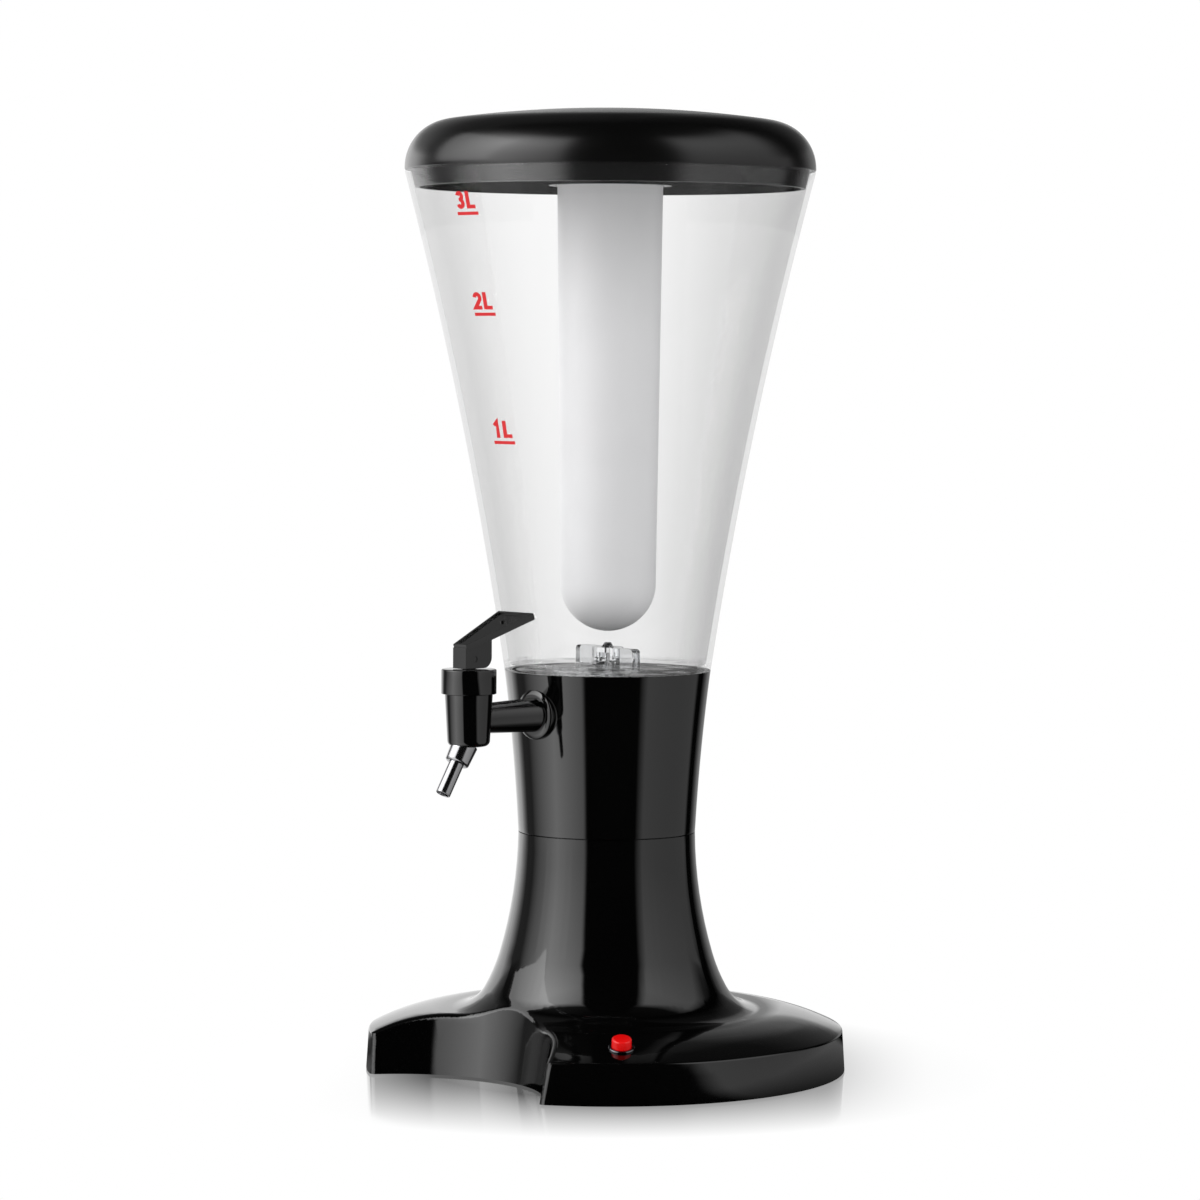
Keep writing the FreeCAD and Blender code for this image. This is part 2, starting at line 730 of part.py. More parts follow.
lens_low = shelf_high + cup_wall
lens_rim = lens_low + cell("lens_thick")
lens_curve = (lamp_flange * lamp_flange + cell("lens_dome") * cell("lens_dome")) / (cell("lens_dome") * 2)
lamp_lens = keep("lamp_lens", revolved(
    "LampLens", (0, lens_low), (lamp_flange, lens_low), (lamp_flange, lens_rim, lens_curve),
    (0, lens_rim + cell("lens_dome"))))

# ---- switch ----

bezel_low = -cell("bezel_depth")
switch_bezel = keep("switch_bezel", at_switch(revolved(
    "SwitchBezel",
    (bezel_radius, bezel_low), (barrel_radius - socket_gap, bezel_low), (barrel_radius - socket_gap, 0),
    (bezel_radius + cell("bezel_flange"), 0),
    (bezel_radius + cell("bezel_flange"), cell("bezel_proud") / 2, cell("bezel_proud")),
    (bezel_radius + cell("bezel_flange") / 2, cell("bezel_proud")), (bezel_radius, cell("bezel_proud")))))

plunger_low = bezel_low - cell("button_travel")
switch_low = bezel_low - cell("switch_depth")
switch_out = barrel_radius + cell("switch_step")
cap_low = cell("bezel_depth") / -3
switch_body = keep("switch_body", at_switch(revolved(
    "SwitchBody",
    (0, switch_low), (switch_out, switch_low), (switch_out, bezel_low),
    (cell("plunger_radius") + fit_gap, bezel_low),
    (cell("plunger_radius") + fit_gap, plunger_low - cell("button_travel") - fit_gap),
    (0, plunger_low - cell("button_travel") - fit_gap))))

cap_round = cell("button_radius") / 5
switch_button = keep("switch_button", at_switch(revolved(
    "SwitchButton",
    (0, plunger_low), (cell("plunger_radius"), plunger_low), (cell("plunger_radius"), cap_low),
    (cell("button_radius"), cap_low), (cell("button_radius"), cell("button_proud") - cap_round, cap_round),
    (cell("button_radius") - cap_round, cell("button_proud")), (0, cell("button_proud")))))

# ---- neck ----

neck_top = cell("tap_height") + cell("tap_nut_radius") + cell("tap_room") + cell("skirt_depth")
neck_foot = seam + fit_gap
neck_radius = cell("neck_radius")
neck_curve = cell("neck_curve")
spigot_out = column_bore - fit_gap
spigot_in = spigot_out - cell("spigot_wall")
spigot_low = seam - cell("spigot_depth")
step_high = neck_foot + cell("spigot_step")

neck_shape = revolved(
    "NeckShape",
    (waist, neck_foot, -neck_curve), (neck_radius, neck_top), (neck_radius - wall, neck_top, neck_curve),
    (column_bore, step_high), (spigot_in, neck_foot), (spigot_in, spigot_low), (spigot_out, spigot_low),
    (spigot_out, neck_foot))
neck_block = revolved("NeckBlock", (0, neck_foot), (waist, neck_foot, -neck_curve), (neck_radius, neck_top),
                      (0, neck_top))
neck_hollow = revolved("NeckHollow", (0, step_high), (column_bore, step_high, -neck_curve),
                       (neck_radius - wall, neck_top), (0, neck_top))

tap_height = cell("tap_height")
tap_reach = cell("tap_reach")
outward = ((1, 0, 0), 90.0)      # turns a piece made about +Z to run towards -Y
shank_root = cell("shank_root_radius")
neck_shell = keep("neck_shell", cut(
    "neck_shell_cut", neck_shape,
    cylinder("shank_hole", shank_root + socket_gap, neck_radius * 2, (0, 0, tap_height), outward)))

# ---- vessel ----

floor_high = neck_top + cell("floor_thick")
vessel_top = cell("vessel_top")
vessel_radius = cell("vessel_radius")
vessel_wall = cell("vessel_wall")
vessel_curve = cell("vessel_curve")
skirt_out = neck_radius - wall - cell("skirt_inset")
skirt_in = skirt_out - cell("skirt_wall")
skirt_low = neck_top - cell("skirt_depth")
vessel = keep("vessel", cut(
    "vessel_cut",
    revolved("VesselShape",
             (neck_radius, neck_top, -vessel_curve), (vessel_radius, vessel_top),
             (vessel_radius - vessel_wall, vessel_top, vessel_curve), (neck_radius - vessel_wall, floor_high),
             (0, floor_high), (0, neck_top), (skirt_in, neck_top), (skirt_in, skirt_low),
             (skirt_out, skirt_low), (skirt_out, neck_top)),
    cylinder("drain_hole", cell("stem_radius") + socket_gap, floor_high - skirt_low, (0, 0, skirt_low))))

# ---- drain fitting through the vessel's floor ----

hub_high = floor_high + cell("wing_height")
seal_low = neck_top - cell("drain_seal_thick")
drain_nut_low = seal_low - cell("drain_nut_height")
stem_radius = cell("stem_radius")
barb = cell("barb_radius")
wing_round = cell("wing_height") / 4


def wing(name, side):
    """One flat wing of the fitting, on a side of the hub and set off its middle line."""
    far = cell("wing_reach") * side
    corner = far - wing_round * side
    return extruded(name, "XZ_Plane", cell("wing_thick"), [
        (0, floor_high), (far, floor_high), (far, hub_high - wing_round, wing_round * side),
        (corner, hub_high), (0, hub_high)], cell("wing_offset") * side)


drain_bore_high = floor_high + cell("drain_bore_rise")
drain_fitting = keep("drain_fitting", cut(
    "drain_fitting_cut",
    fuse("drain_blank",
         cylinder("drain_hub", cell("hub_radius"), cell("wing_height"), (0, 0, floor_high)),
         cylinder("drain_stem", stem_radius, floor_high - drain_nut_low, (0, 0, drain_nut_low)),
         cylinder("drain_barb", barb, cell("barb_length"), (0, 0, drain_nut_low - cell("barb_length"))),
         cone("drain_nub", cell("nub_radius"), cell("nub_radius") / 2, cell("nub_height"), (0, 0, hub_high)),
         wing("right_wing", 1), wing("left_wing", -1)),
    cylinder("drain_bore", cell("drain_bore"), drain_bore_high - neck_top + cell("drain_nut_radius") * 2,
             (0, 0, neck_top - cell("drain_nut_radius") * 2)),
    cylinder("drain_port", cell("port_radius"), cell("hub_radius") * 4,
             (0, cell("hub_radius") * 2, floor_high + cell("port_radius") + socket_gap), outward)))
drain_seal = keep("drain_seal", cut(
    "drain_seal_cut",
    cylinder("drain_seal_disc", cell("drain_nut_radius"), cell("drain_seal_thick"), (0, 0, seal_low)),
    cylinder("drain_seal_hole", stem_radius + socket_gap, cell("drain_seal_thick"), (0, 0, seal_low))))


def hex_nut(name, radius, height, hole, at, turn=None):
    prism = doc.addObject("Part::Prism", name + "_hex")
    prism.Polygon = 6
    bind(prism, "Circumradius", radius)
    bind(prism, "Height", height)
    return cut(name + "_cut", place(prism, at, turn), cylinder(name + "_hole", hole, height, at, turn))


drain_nut = keep("drain_nut", hex_nut("drain_nut", cell("drain_nut_radius"), cell("drain_nut_height"),
                                      stem_radius + socket_gap, (0, 0, drain_nut_low)))

hose_bend = cell("hose_bend")
hose_top = drain_nut_low - socket_gap
hose_turn = FreeCAD.Rotation(FreeCAD.Vector(0, 1, 0), FreeCAD.Vector(0, 0, -1), FreeCAD.Vector(), "XYZ")


def hose_core(name, radius):
    """The elbow from the drain down and round to the tap's shank, as one round bar."""
    bend = doc.addObject("Part::Torus", name + "_bend")
    bind(bend, "Radius1", hose_bend)
    bind(bend, "Radius2", radius)
    bend.Angle3 = 90
    bend.Placement.Rotation = hose_turn
    place(bend, (0, -hose_bend, tap_height + hose_bend))
    return fuse(name, bend,
                cylinder(name + "_drop", radius, hose_top - tap_height - hose_bend,
                         (0, 0, tap_height + hose_bend)),
                cylinder(name + "_run", radius, cell("hose_reach") - hose_bend,
                         (0, -hose_bend, tap_height), outward))


drain_hose = keep("drain_hose", cut("drain_hose_cut", hose_core("hose_outside", barb + cell("hose_wall")),
                                    hose_core("hose_inside", barb + socket_gap)))

# ---- tap body, clamped through the neck's wall ----

neck_face = arc_reach(waist, neck_foot, neck_radius, neck_top, neck_curve, tap_height)
bore_face = neck_face - wall
flange_face = neck_face + cell("flange_thick")
washer_face = bore_face - cell("washer_thick")
nut_face = washer_face - cell("tap_nut_height")
barb_face = nut_face - cell("barb_step")
barb_end = barb_face - cell("shank_barb")

tap_frame = (0, -tap_reach, tap_height)
body_low = -cell("body_foot")
shoulder = cell("body_shoulder")
body_high = shoulder + cell("thread_height")
cap_high = shoulder + cell("cap_height")
deck_low = cap_high - cell("cap_deck")
chamber = cell("chamber_radius")
chamber_low = -cell("chamber_floor")
thread = cell("collar_radius") - cell("collar_wall")
body_foot = cell("body_foot_radius")
body_round = cell("body_round")

tap_barrel = place(revolved(
    "TapBarrel",
    (0, body_low), (body_foot - body_round, body_low, body_round), (body_foot, body_low + body_round),
    (cell("body_radius"), shoulder), (thread, shoulder), (thread, body_high), (0, body_high)), tap_frame)


def along_shank(name, near, far, from_axis, to_axis):
    """A round length of the shank, between two distances from the tower's axis."""
    return cone(name, near, far, to_axis - from_axis, (0, -from_axis, tap_height), outward)


nozzle_tilt = cell("nozzle_tilt")
nozzle_z = tap_height - cell("nozzle_start")


def along_nozzle(name, radius, start, length):
    """A cylinder down the leaning nozzle's axis, which leaves the tap's axis below the chamber."""
    return cylinder(name, radius, length,
                    (0, -tap_reach - sine(nozzle_tilt) * start, nozzle_z - cosine(nozzle_tilt) * start),
                    ((1, 0, 0), as_size(180.0) - nozzle_tilt))


nozzle_radius = cell("nozzle_radius")
nozzle_bore = nozzle_radius - cell("nozzle_wall")
sleeve_start = cell("sleeve_start")
tap_body = keep("tap_body", cut(
    "tap_body_cut",
    fuse("tap_blank", tap_barrel,
         along_shank("shank_neck", shank_root, cell("shank_radius"), flange_face, tap_reach),
         along_shank("shank_thread", shank_root, shank_root, barb_face, flange_face),
         along_shank("shank_barb", barb, barb, barb_end, barb_face)),
    along_shank("shank_bore", cell("shank_bore"), cell("shank_bore"), barb_end, tap_reach),
    cylinder("tap_chamber", chamber, body_high - chamber_low, (0, -tap_reach, tap_height + chamber_low)),
    cylinder("tap_outlet", nozzle_bore, cell("nozzle_start") + chamber_low, (0, -tap_reach, nozzle_z)),
    along_nozzle("nozzle_way", nozzle_bore, 0, sleeve_start),
    along_nozzle("sleeve_seat", cell("sleeve_radius") + socket_gap, sleeve_start, cell("body_foot"))))

tap_flange = keep("tap_flange", cut(
    "tap_flange_cut",
    cylinder("flange_disc", cell("flange_radius"), flange_face / 2, (0, -flange_face / 2, tap_height),
             outward),
    neck_block,
    cylinder("flange_hole", shank_root + socket_gap, flange_face, (0, 0, tap_height), outward)))
tap_washer = keep("tap_washer", cut(
    "tap_washer_cut",
    common("washer_blank", neck_hollow,
           cylinder("washer_disc", cell("tap_nut_radius"), wall + cell("washer_thick") * 2,
                    (0, -washer_face, tap_height), outward)),
    cylinder("washer_hole", shank_root + socket_gap, neck_radius, (0, 0, tap_height), outward)))
tap_nut = keep("tap_nut", hex_nut("tap_nut", cell("tap_nut_radius"), cell("tap_nut_height"),
                                  shank_root + socket_gap, (0, -nut_face, tap_height), outward))

nozzle_tube = keep("nozzle_tube", cut(
    "nozzle_tube_cut",
    along_nozzle("nozzle_outside", nozzle_radius, sleeve_start, cell("nozzle_length") - sleeve_start),
    along_nozzle("nozzle_inside", nozzle_bore, 0, cell("nozzle_length") * 1.1)))
nozzle_sleeve = keep("nozzle_sleeve", cut(
    "nozzle_sleeve_cut",
    along_nozzle("sleeve_outside", cell("sleeve_radius"), sleeve_start, cell("sleeve_length")),
    along_nozzle("sleeve_inside", nozzle_radius + socket_gap, 0, cell("nozzle_length"))))

rod_radius = cell("rod_radius")
tap_cap = keep("tap_cap", place(revolved(
    "TapCap",
    (thread + socket_gap, shoulder), (cell("collar_radius"), shoulder), (cell("collar_radius"), cap_high),
    (rod_radius + cell("slide_gap"), cap_high), (rod_radius + cell("slide_gap"), deck_low),
    (thread + socket_gap, deck_low)), tap_frame))

# ---- valve: rod, rubber seat cup and lever pin ----

pin_height = cap_high + cell("pin_height")
rod_low = chamber_low + cell("seat_gap") + cell("cup_plug") - cell("rod_bed")
tongue = cell("tongue_thick") / 2
tongue_low = cap_high - cell("tongue_drop")
tongue_far = rod_radius * 2
rod_high = pin_height + cell("tongue_over")
tap_rod = keep("tap_rod", cut(
    "tap_rod_cut",
    cylinder("rod_bar", rod_radius, rod_high - rod_low, (0, -tap_reach, tap_height + rod_low)),
    box("flat_right", (tongue, -tongue_far, tongue_low), (tongue_far, tongue_far, rod_high), tap_frame),
    box("flat_left", (-tongue_far, -tongue_far, tongue_low), (-tongue, tongue_far, rod_high), tap_frame),
    cylinder("rod_eye", cell("pin_radius") + socket_gap, rod_radius * 4,
             (-rod_radius * 2, -tap_reach, tap_height + pin_height), ((0, 1, 0), 90.0))))

plug_foot = chamber_low + cell("seat_gap")
cup_radius = cell("cup_radius")
cup_skin = cell("cup_skin")
cup_waist = rod_radius + socket_gap + cup_skin
cup_flare = body_high - cell("cup_plug")
seat_cup = keep("seat_cup", place(revolved(
    "SeatCup",
    (0, plug_foot), (cup_radius, plug_foot), (cup_radius, plug_foot + cell("cup_plug")),
    (cup_waist, plug_foot + cell("cup_plug")), (cup_waist, cup_flare),
    (chamber - fit_gap, body_high + fit_gap), (thread - fit_gap, body_high + fit_gap),
    (thread - fit_gap, deck_low - fit_gap), (chamber - cup_skin, deck_low - fit_gap),
    (rod_radius + socket_gap, cup_flare + cup_skin / 2), (rod_radius + socket_gap, rod_low), (0, rod_low)),
    tap_frame))
lever_pin = keep("lever_pin", cylinder(
    "lever_pin_bar", cell("pin_radius"), cell("block_width") - fit_gap * 2,
    (-(cell("block_width") / 2) + fit_gap, -tap_reach, tap_height + pin_height), ((0, 1, 0), 90.0)))

# ---- lever: an upright block with a paddle that widens towards the tower ----

lever_frame = (0, -tap_reach, tap_height + pin_height)
block_low = -cell("pin_height") + cell("lever_gap")
block_front = -cell("block_front")
block_rear = cell("block_rear")
block_round = cell("block_round")
block_top = cell("block_top")
paddle_angle = cell("paddle_angle")
paddle_foot = (0, block_front - tap_reach, tap_height + pin_height + block_top)
rise = tangent(paddle_angle)
paddle_thick = cell("paddle_thick")
lever_block = place(extruded("LeverBlock", "YZ_Plane", cell("block_width"), [
    (block_front, block_low), (block_rear - block_round, block_low, block_round),
    (block_rear, block_low + block_round),
    (block_rear, block_top + rise * (block_rear - block_front) - paddle_thick / 2),
    (block_front, block_top - paddle_thick / 2)]), lever_frame)


def paddle_plate(name, inset, start, low, high):
    """A flat plate in the paddle's plane, widening from the block's width to the tip's."""
    plate = doc.addObject("Part::Wedge", name)
    length = cell("paddle_length")
    near, far = cell("block_width") / 2 - inset, cell("paddle_width") / 2 - inset
    grow = (far - near) / length
    near, far = near + grow * start, far - grow * inset
    for side, value in (("Xmin", -near), ("Xmax", near), ("X2min", -far), ("X2max", far), ("Ymin", start),
                        ("Ymax", length - inset), ("Zmin", low), ("Zmax", high), ("Z2min", low),
                        ("Z2max", high)):
        bind(plate, side, value)
    return place(plate, paddle_foot, ((1, 0, 0), paddle_angle))


dimple_run = cell("dimple_run")
recess = cell("paddle_recess")
dimple = cylinder("dimple", cell("dimple_radius"), recess,
                  (0, paddle_foot[1] + cosine(paddle_angle) * dimple_run + sine(paddle_angle) * recess,
                   paddle_foot[2] + sine(paddle_angle) * dimple_run - cosine(paddle_angle) * recess),
                  ((1, 0, 0), paddle_angle))
level = as_size(0)
lever_solid = fuse("lever_solid", lever_block, paddle_plate("paddle", level, level, -paddle_thick, level))
lever_recessed = cut("lever_recessed", lever_solid, paddle_plate("paddle_dish", cell("paddle_rim"),
                                                                 cell("paddle_rim"), -recess, recess))
lever_slot = tongue + fit_gap
tap_lever = keep("tap_lever", cut(
    "tap_lever_cut", fuse("lever_with_dimple", lever_recessed, dimple),
    box("lever_slot", (-lever_slot, -cell("slot_front"), block_low * 2),
        (lever_slot, cell("slot_rear"), cell("slot_top")), lever_frame),
    cylinder("lever_hole", cell("pin_radius") + cell("slide_gap"), cell("block_width") * 2,
             (-cell("block_width"), -tap_reach, tap_height + pin_height), ((0, 1, 0), 90.0))))

# ---- lid ----

lid_foot = vessel_top + fit_gap
lid_wall = cell("lid_wall")
lid_in = vessel_radius - lid_wall
crown_curve = cell("crown_curve")
crown_radius = cell("crown_radius")
crown_rise = root(crown_curve * crown_curve - crown_radius * crown_radius)
crown_centre = cell("lid_top") - crown_curve
lid_edge = lid_foot + cell("lid_edge")
inner_share = (crown_curve - lid_wall) / crown_curve
lid_shell = keep("lid_shell", revolved(
    "LidShell",
    (0, cell("lid_top"), -crown_curve), (crown_radius, crown_centre + crown_rise, "tangent"),
    (vessel_radius, lid_edge),
    (vessel_radius, lid_foot), (lid_in, lid_foot), (lid_in, lid_edge, "tangent"),
    (crown_radius * inner_share, crown_centre + crown_rise * inner_share, crown_curve - lid_wall),
    (0, cell("lid_top") - lid_wall)))

plug_low = lid_foot - cell("plug_depth")
plug_wall = cell("plug_wall")
plug_out = arc_reach(neck_radius - vessel_wall, floor_high, vessel_radius - vessel_wall, vessel_top,
                     vessel_curve, plug_low) - cell("plug_gap")
plug_high_out = vessel_radius - vessel_wall - cell("plug_gap")
deck_high = lid_foot + cell("deck_thick")
deck_out = lid_in - socket_gap
tube_radius = cell("tube_radius")
lug_out = tube_radius + cell("lug_reach")
socket_in = lug_out + fit_gap
socket_out = socket_in + cell("socket_wall")
socket_low = lid_foot - cell("socket_depth")
lip_high = socket_low + cell("lip_height")
lip_in = tube_radius + fit_gap
lug_half = cell("lug_width") / 2
thirds = (0.0, 120.0, 240.0)


def box_about_axis(name, low, high, degrees):
    """A box between two corners, swung about the tower's axis."""
    x, y, z = low
    turn = as_size(degrees)
    return place(box(name, low, high),
                 (x * cosine(turn) - sine(turn) * y, x * sine(turn) + cosine(turn) * y, z), ((0, 0, 1), turn))


insert_blank = revolved(
    "LidInsert",
    (0, lid_foot), (socket_in, lid_foot), (socket_in, lip_high), (lip_in, lip_high), (lip_in, socket_low),
    (socket_out, socket_low), (socket_out, lid_foot), (plug_high_out - plug_wall, lid_foot),
    (plug_out - plug_wall, plug_low), (plug_out, plug_low), (plug_high_out, lid_foot), (deck_out, lid_foot),
    (deck_out, deck_high), (0, deck_high))
stop_at = lug_half + fit_gap
stops = [box_about_axis("stop%d" % i, (lip_in, stop_at, lip_high),
                        (socket_in + cell("socket_wall") / 2, stop_at + cell("stop_width"), lid_foot),
                        degrees + 60)
         for i, degrees in enumerate(thirds)]
entry_half = lug_half + fit_gap * 2
entries = [box_about_axis("entry%d" % i, (tube_radius / 2, -entry_half, socket_low),
                          (socket_in, entry_half, lip_high), degrees)
           for i, degrees in enumerate(thirds)]
lid_insert = keep("lid_insert", cut("lid_insert_cut", fuse("insert_with_stops", insert_blank, *stops),
                                    *entries))

# ---- ice tube, held in the lid's socket by three lugs ----

seal_high = lid_foot - fit_gap
tube_high = seal_high - cell("tube_seal")
tube_end = hub_high + cell("nub_height") + cell("tube_room")
end_radius = cell("tube_end_radius")
tube_wall = cell("tube_wall")
end_high = tube_end + end_radius
tube_shape = revolved(
    "TubeShape",
    (0, tube_end, end_radius), (end_radius, end_high), (tube_radius, tube_high),
    (tube_radius - tube_wall, tube_high), (end_radius - tube_wall, end_high, -(end_radius - tube_wall)),
    (0, tube_end + tube_wall))
lug_low = lip_high + fit_gap
lug_ring = cut("lug_ring",
               cylinder("lug_disc", lug_out, cell("lug_height"), (0, 0, lug_low)),
               cylinder("lug_hole", tube_radius - tube_wall / 2, cell("lug_height"), (0, 0, lug_low)))
lug_spans = [box_about_axis("lug_span%d" % i, (tube_radius / 2, -lug_half, lug_low),
                            (lug_out * 2, lug_half, lug_low + cell("lug_height")), degrees + 60)
             for i, degrees in enumerate(thirds)]
lugs = common("lugs", lug_ring, fuse("lug_spans", *lug_spans))
ice_tube = keep("ice_tube", fuse("ice_tube_fuse", tube_shape, lugs))
tube_seal = keep("tube_seal", revolved(
    "TubeSeal", (tube_radius - tube_wall, tube_high), (tube_radius, tube_high), (tube_radius, seal_high),
    (tube_radius - tube_wall, seal_high)))

# ---- leads: battery box to switch, and switch to light ----

lead_radius = cell("lead_radius")


def lead(name, start, turned, *steps):
    """A round lead in one plane: each step is a straight length, or a left bend as (radius, degrees)."""
    x, y, heading, shapes = as_size(0), as_size(0), 0.0, []
    for i, step in enumerate(steps):
        toward = as_size(math.cos(math.radians(heading))), as_size(math.sin(math.radians(heading)))
        if isinstance(step, tuple):
            bend, degrees = step
            middle = x - toward[1] * bend, y + toward[0] * bend
            ring = doc.addObject("Part::Torus", "%s_bend%d" % (name, i))
            bind(ring, "Radius1", bend)
            bind(ring, "Radius2", lead_radius)
            ring.Angle3 = degrees
            shapes.append(place(ring, (middle[0], middle[1], 0), ((0, 0, 1), heading - 90)))
            heading += degrees
            x = middle[0] + bend * math.sin(math.radians(heading))
            y = middle[1] - bend * math.cos(math.radians(heading))
        else:
            shapes.append(cylinder("%s_run%d" % (name, i), lead_radius, step, (x, y, 0),
                                   ((-toward[1].number, toward[0].number, 0), 90)))
            x, y = x + toward[0] * step, y + toward[1] * step
    whole = fuse(name + "_whole", *shapes)
    whole.Placement.Rotation = turned
    for letter, value in zip("xyz", start):
        bind(whole, "Placement.Base." + letter, value)
    return whole


bend = cell("lead_bend")
lead_height = cell("lead_height")
lead_start = cell("lead_start")
box_side = bay_y + box_wall + socket_gap
at_lead = (switch_z - lead_height) / cosine(lean)      # down the switch's axis to the leads' height
lead_x = switch_x - sine(lean) * at_lead * cosine(switch_angle)
lead_y = switch_y - sine(lean) * at_lead * sine(switch_angle)
reach_side = switch_out / cosine(lean) + fit_gap
switch_wire = keep("switch_wire", lead(
    "switch_wire", (lead_start, -box_side, lead_height),
    FreeCAD.Rotation(FreeCAD.Vector(0, 0, 1), -90),
    -lead_y - box_side - bend, (bend, 90), lead_x - reach_side - lead_start - bend))

ring_out = switch_ring - sine(lean) * at_lead - reach_side
lead_rise = cell("lamp_lead_rise")
slope_from = ring_out - bend * (sine(lead_rise) + 1)
slope_to = cell("lamp_lead_ring") + bend * (as_size(1) - sine(lead_rise))
slope_run = (slope_from - slope_to) / cosine(lead_rise)
climb = bend * (as_size(1) - cosine(lead_rise)) + sine(lead_rise) * slope_run + bend * cosine(lead_rise)
inward = FreeCAD.Vector(-cosine(switch_angle).number, -sine(switch_angle).number, 0)
lamp_wire = keep("lamp_wire", lead(
    "lamp_wire", (ring_out * cosine(switch_angle), ring_out * sine(switch_angle), lead_height),
    FreeCAD.Rotation(inward, FreeCAD.Vector(0, 0, 1), FreeCAD.Vector(), "XYZ"),
    bend, (bend, lead_rise.number), slope_run, (bend, 90 - lead_rise.number),
    cup_low - socket_gap - lead_height - climb))

# ---- checks and files ----

doc.recompute()
for thing in doc.Objects:
    if "Invalid" in thing.State or "Error" in thing.State:
        raise RuntimeError("%s did not build: %s" % (thing.Label, thing.State))
for piece in pieces:
    if piece.Shape.isNull() or not piece.Shape.isValid():
        raise RuntimeError("%s has no valid shape" % piece.Label)

os.makedirs("parts", exist_ok=True)
for piece in pieces:
    piece.Shape.exportStep("parts/%s.step" % piece.Label)
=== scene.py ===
import math

import bmesh
import bpy
from mathutils import Matrix, Vector


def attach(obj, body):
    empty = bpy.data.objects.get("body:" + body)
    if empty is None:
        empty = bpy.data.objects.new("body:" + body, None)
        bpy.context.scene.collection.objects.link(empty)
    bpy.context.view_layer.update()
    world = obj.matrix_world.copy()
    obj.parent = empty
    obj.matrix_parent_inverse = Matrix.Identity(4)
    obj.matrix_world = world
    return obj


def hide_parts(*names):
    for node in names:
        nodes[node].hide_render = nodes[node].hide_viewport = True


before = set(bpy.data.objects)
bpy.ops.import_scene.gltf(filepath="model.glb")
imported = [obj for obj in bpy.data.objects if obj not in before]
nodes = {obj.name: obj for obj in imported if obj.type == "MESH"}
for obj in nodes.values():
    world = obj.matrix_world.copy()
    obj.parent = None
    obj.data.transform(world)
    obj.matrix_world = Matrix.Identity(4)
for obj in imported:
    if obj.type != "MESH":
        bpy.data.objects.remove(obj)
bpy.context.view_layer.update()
mm = 0.001
up = Vector((0, 0, 1))
print("frame loaded:", len(nodes), "nodes")


# small steps that the finishes, the floor and the world are wired from
def wire(tree, source, target):
    # an output is linked to the socket, and a plain number or colour is set on it
    if isinstance(source, bpy.types.NodeSocket):
        tree.links.new(source, target)
    else:
        target.default_value = source


def mathNode(tree, operation, *values):
    node = tree.nodes.new("ShaderNodeMath")
    node.operation = operation
    for socket, value in zip(node.inputs, values):
        wire(tree, value, socket)
    return node.outputs["Value"]


def blend(tree, weight, first, second):
    node = tree.nodes.new("ShaderNodeMix")
    node.data_type = "FLOAT"
    for number, value in ((0, weight), (2, first), (3, second)):
        wire(tree, value, node.inputs[number])
    return node.outputs[0]


def along(tree, direction, axis):
    # how far a direction or a place reaches along an axis
    node = tree.nodes.new("ShaderNodeVectorMath")
    node.operation = "DOT_PRODUCT"
    node.inputs[1].default_value = axis
    wire(tree, direction, node.inputs[0])
    return node.outputs["Value"]


def spanOf(tree, value, low, high, atLow=0.0, atHigh=1.0):
    # goes from one number to the other while the value goes from low to high
    node = tree.nodes.new("ShaderNodeMapRange")
    for socket, number in (("From Min", low), ("From Max", high), ("To Min", atLow), ("To Max", atHigh)):
        node.inputs[socket].default_value = number
    wire(tree, value, node.inputs["Value"])
    return node.outputs["Result"]


def rampOf(tree, value, stops):
    # each stop is a place between 0 and 1, and the colour or plain grey there
    node = tree.nodes.new("ShaderNodeValToRGB")
    elements = node.color_ramp.elements
    for i, (place, colour) in enumerate(stops):
        stop = elements[0] if i == 0 else elements.new(place) if i + 1 < len(stops) else elements[-1]
        stop.position = place
        stop.color = (*(colour if isinstance(colour, tuple) else (colour,) * 3), 1)
    wire(tree, value, node.inputs["Fac"])
    return node.outputs["Color"]


def mixShaders(tree, weight, first, second):
    node = tree.nodes.new("ShaderNodeMixShader")
    for socket, output in zip(node.inputs, (weight, first, second)):
        wire(tree, output, socket)
    return node.outputs["Shader"]


def straightThrough(tree, tint=(1, 1, 1, 1)):
    node = tree.nodes.new("ShaderNodeBsdfTransparent")
    wire(tree, tint, node.inputs["Color"])
    return node.outputs["BSDF"]


def showShader(tree, output):
    wire(tree, output, tree.nodes["Material Output"].inputs["Surface"])


# what every finish starts from, and the grain in its gloss, colour and skin
def finish(name, colour, roughness, **sockets):
    # the plain numbers are set on the shader's own sockets
    material = bpy.data.materials.new(name)
    material.use_nodes = True
    shader = material.node_tree.nodes["Principled BSDF"]
    shader.inputs["Base Color"].default_value = (*colour, 1.0)
    shader.inputs["Roughness"].default_value = roughness
    for socket, value in sockets.items():
        shader.inputs[socket.replace("_", " ")].default_value = value
    return material, material.node_tree, shader


def grainNoise(tree, scale, detail=3.0, stretch=(1, 1, 1)):
    place = tree.nodes.new("ShaderNodeTexCoord")
    mapping = tree.nodes.new("ShaderNodeMapping")
    mapping.inputs["Scale"].default_value = stretch
    noise = tree.nodes.new("ShaderNodeTexNoise")
    noise.inputs["Scale"].default_value = scale
    noise.inputs["Detail"].default_value = detail
    wire(tree, place.outputs["Object"], mapping.inputs["Vector"])
    wire(tree, mapping.outputs["Vector"], noise.inputs["Vector"])
    return noise.outputs["Fac"]


def varyRoughness(tree, shader, grain, low, high):
    wire(tree, spanOf(tree, grain, 0, 1, low, high), shader.inputs["Roughness"])


def varyColour(tree, shader, grain, dark, light):
    wire(tree, rampOf(tree, grain, [(0.3, dark), (0.7, light)]), shader.inputs["Base Color"])


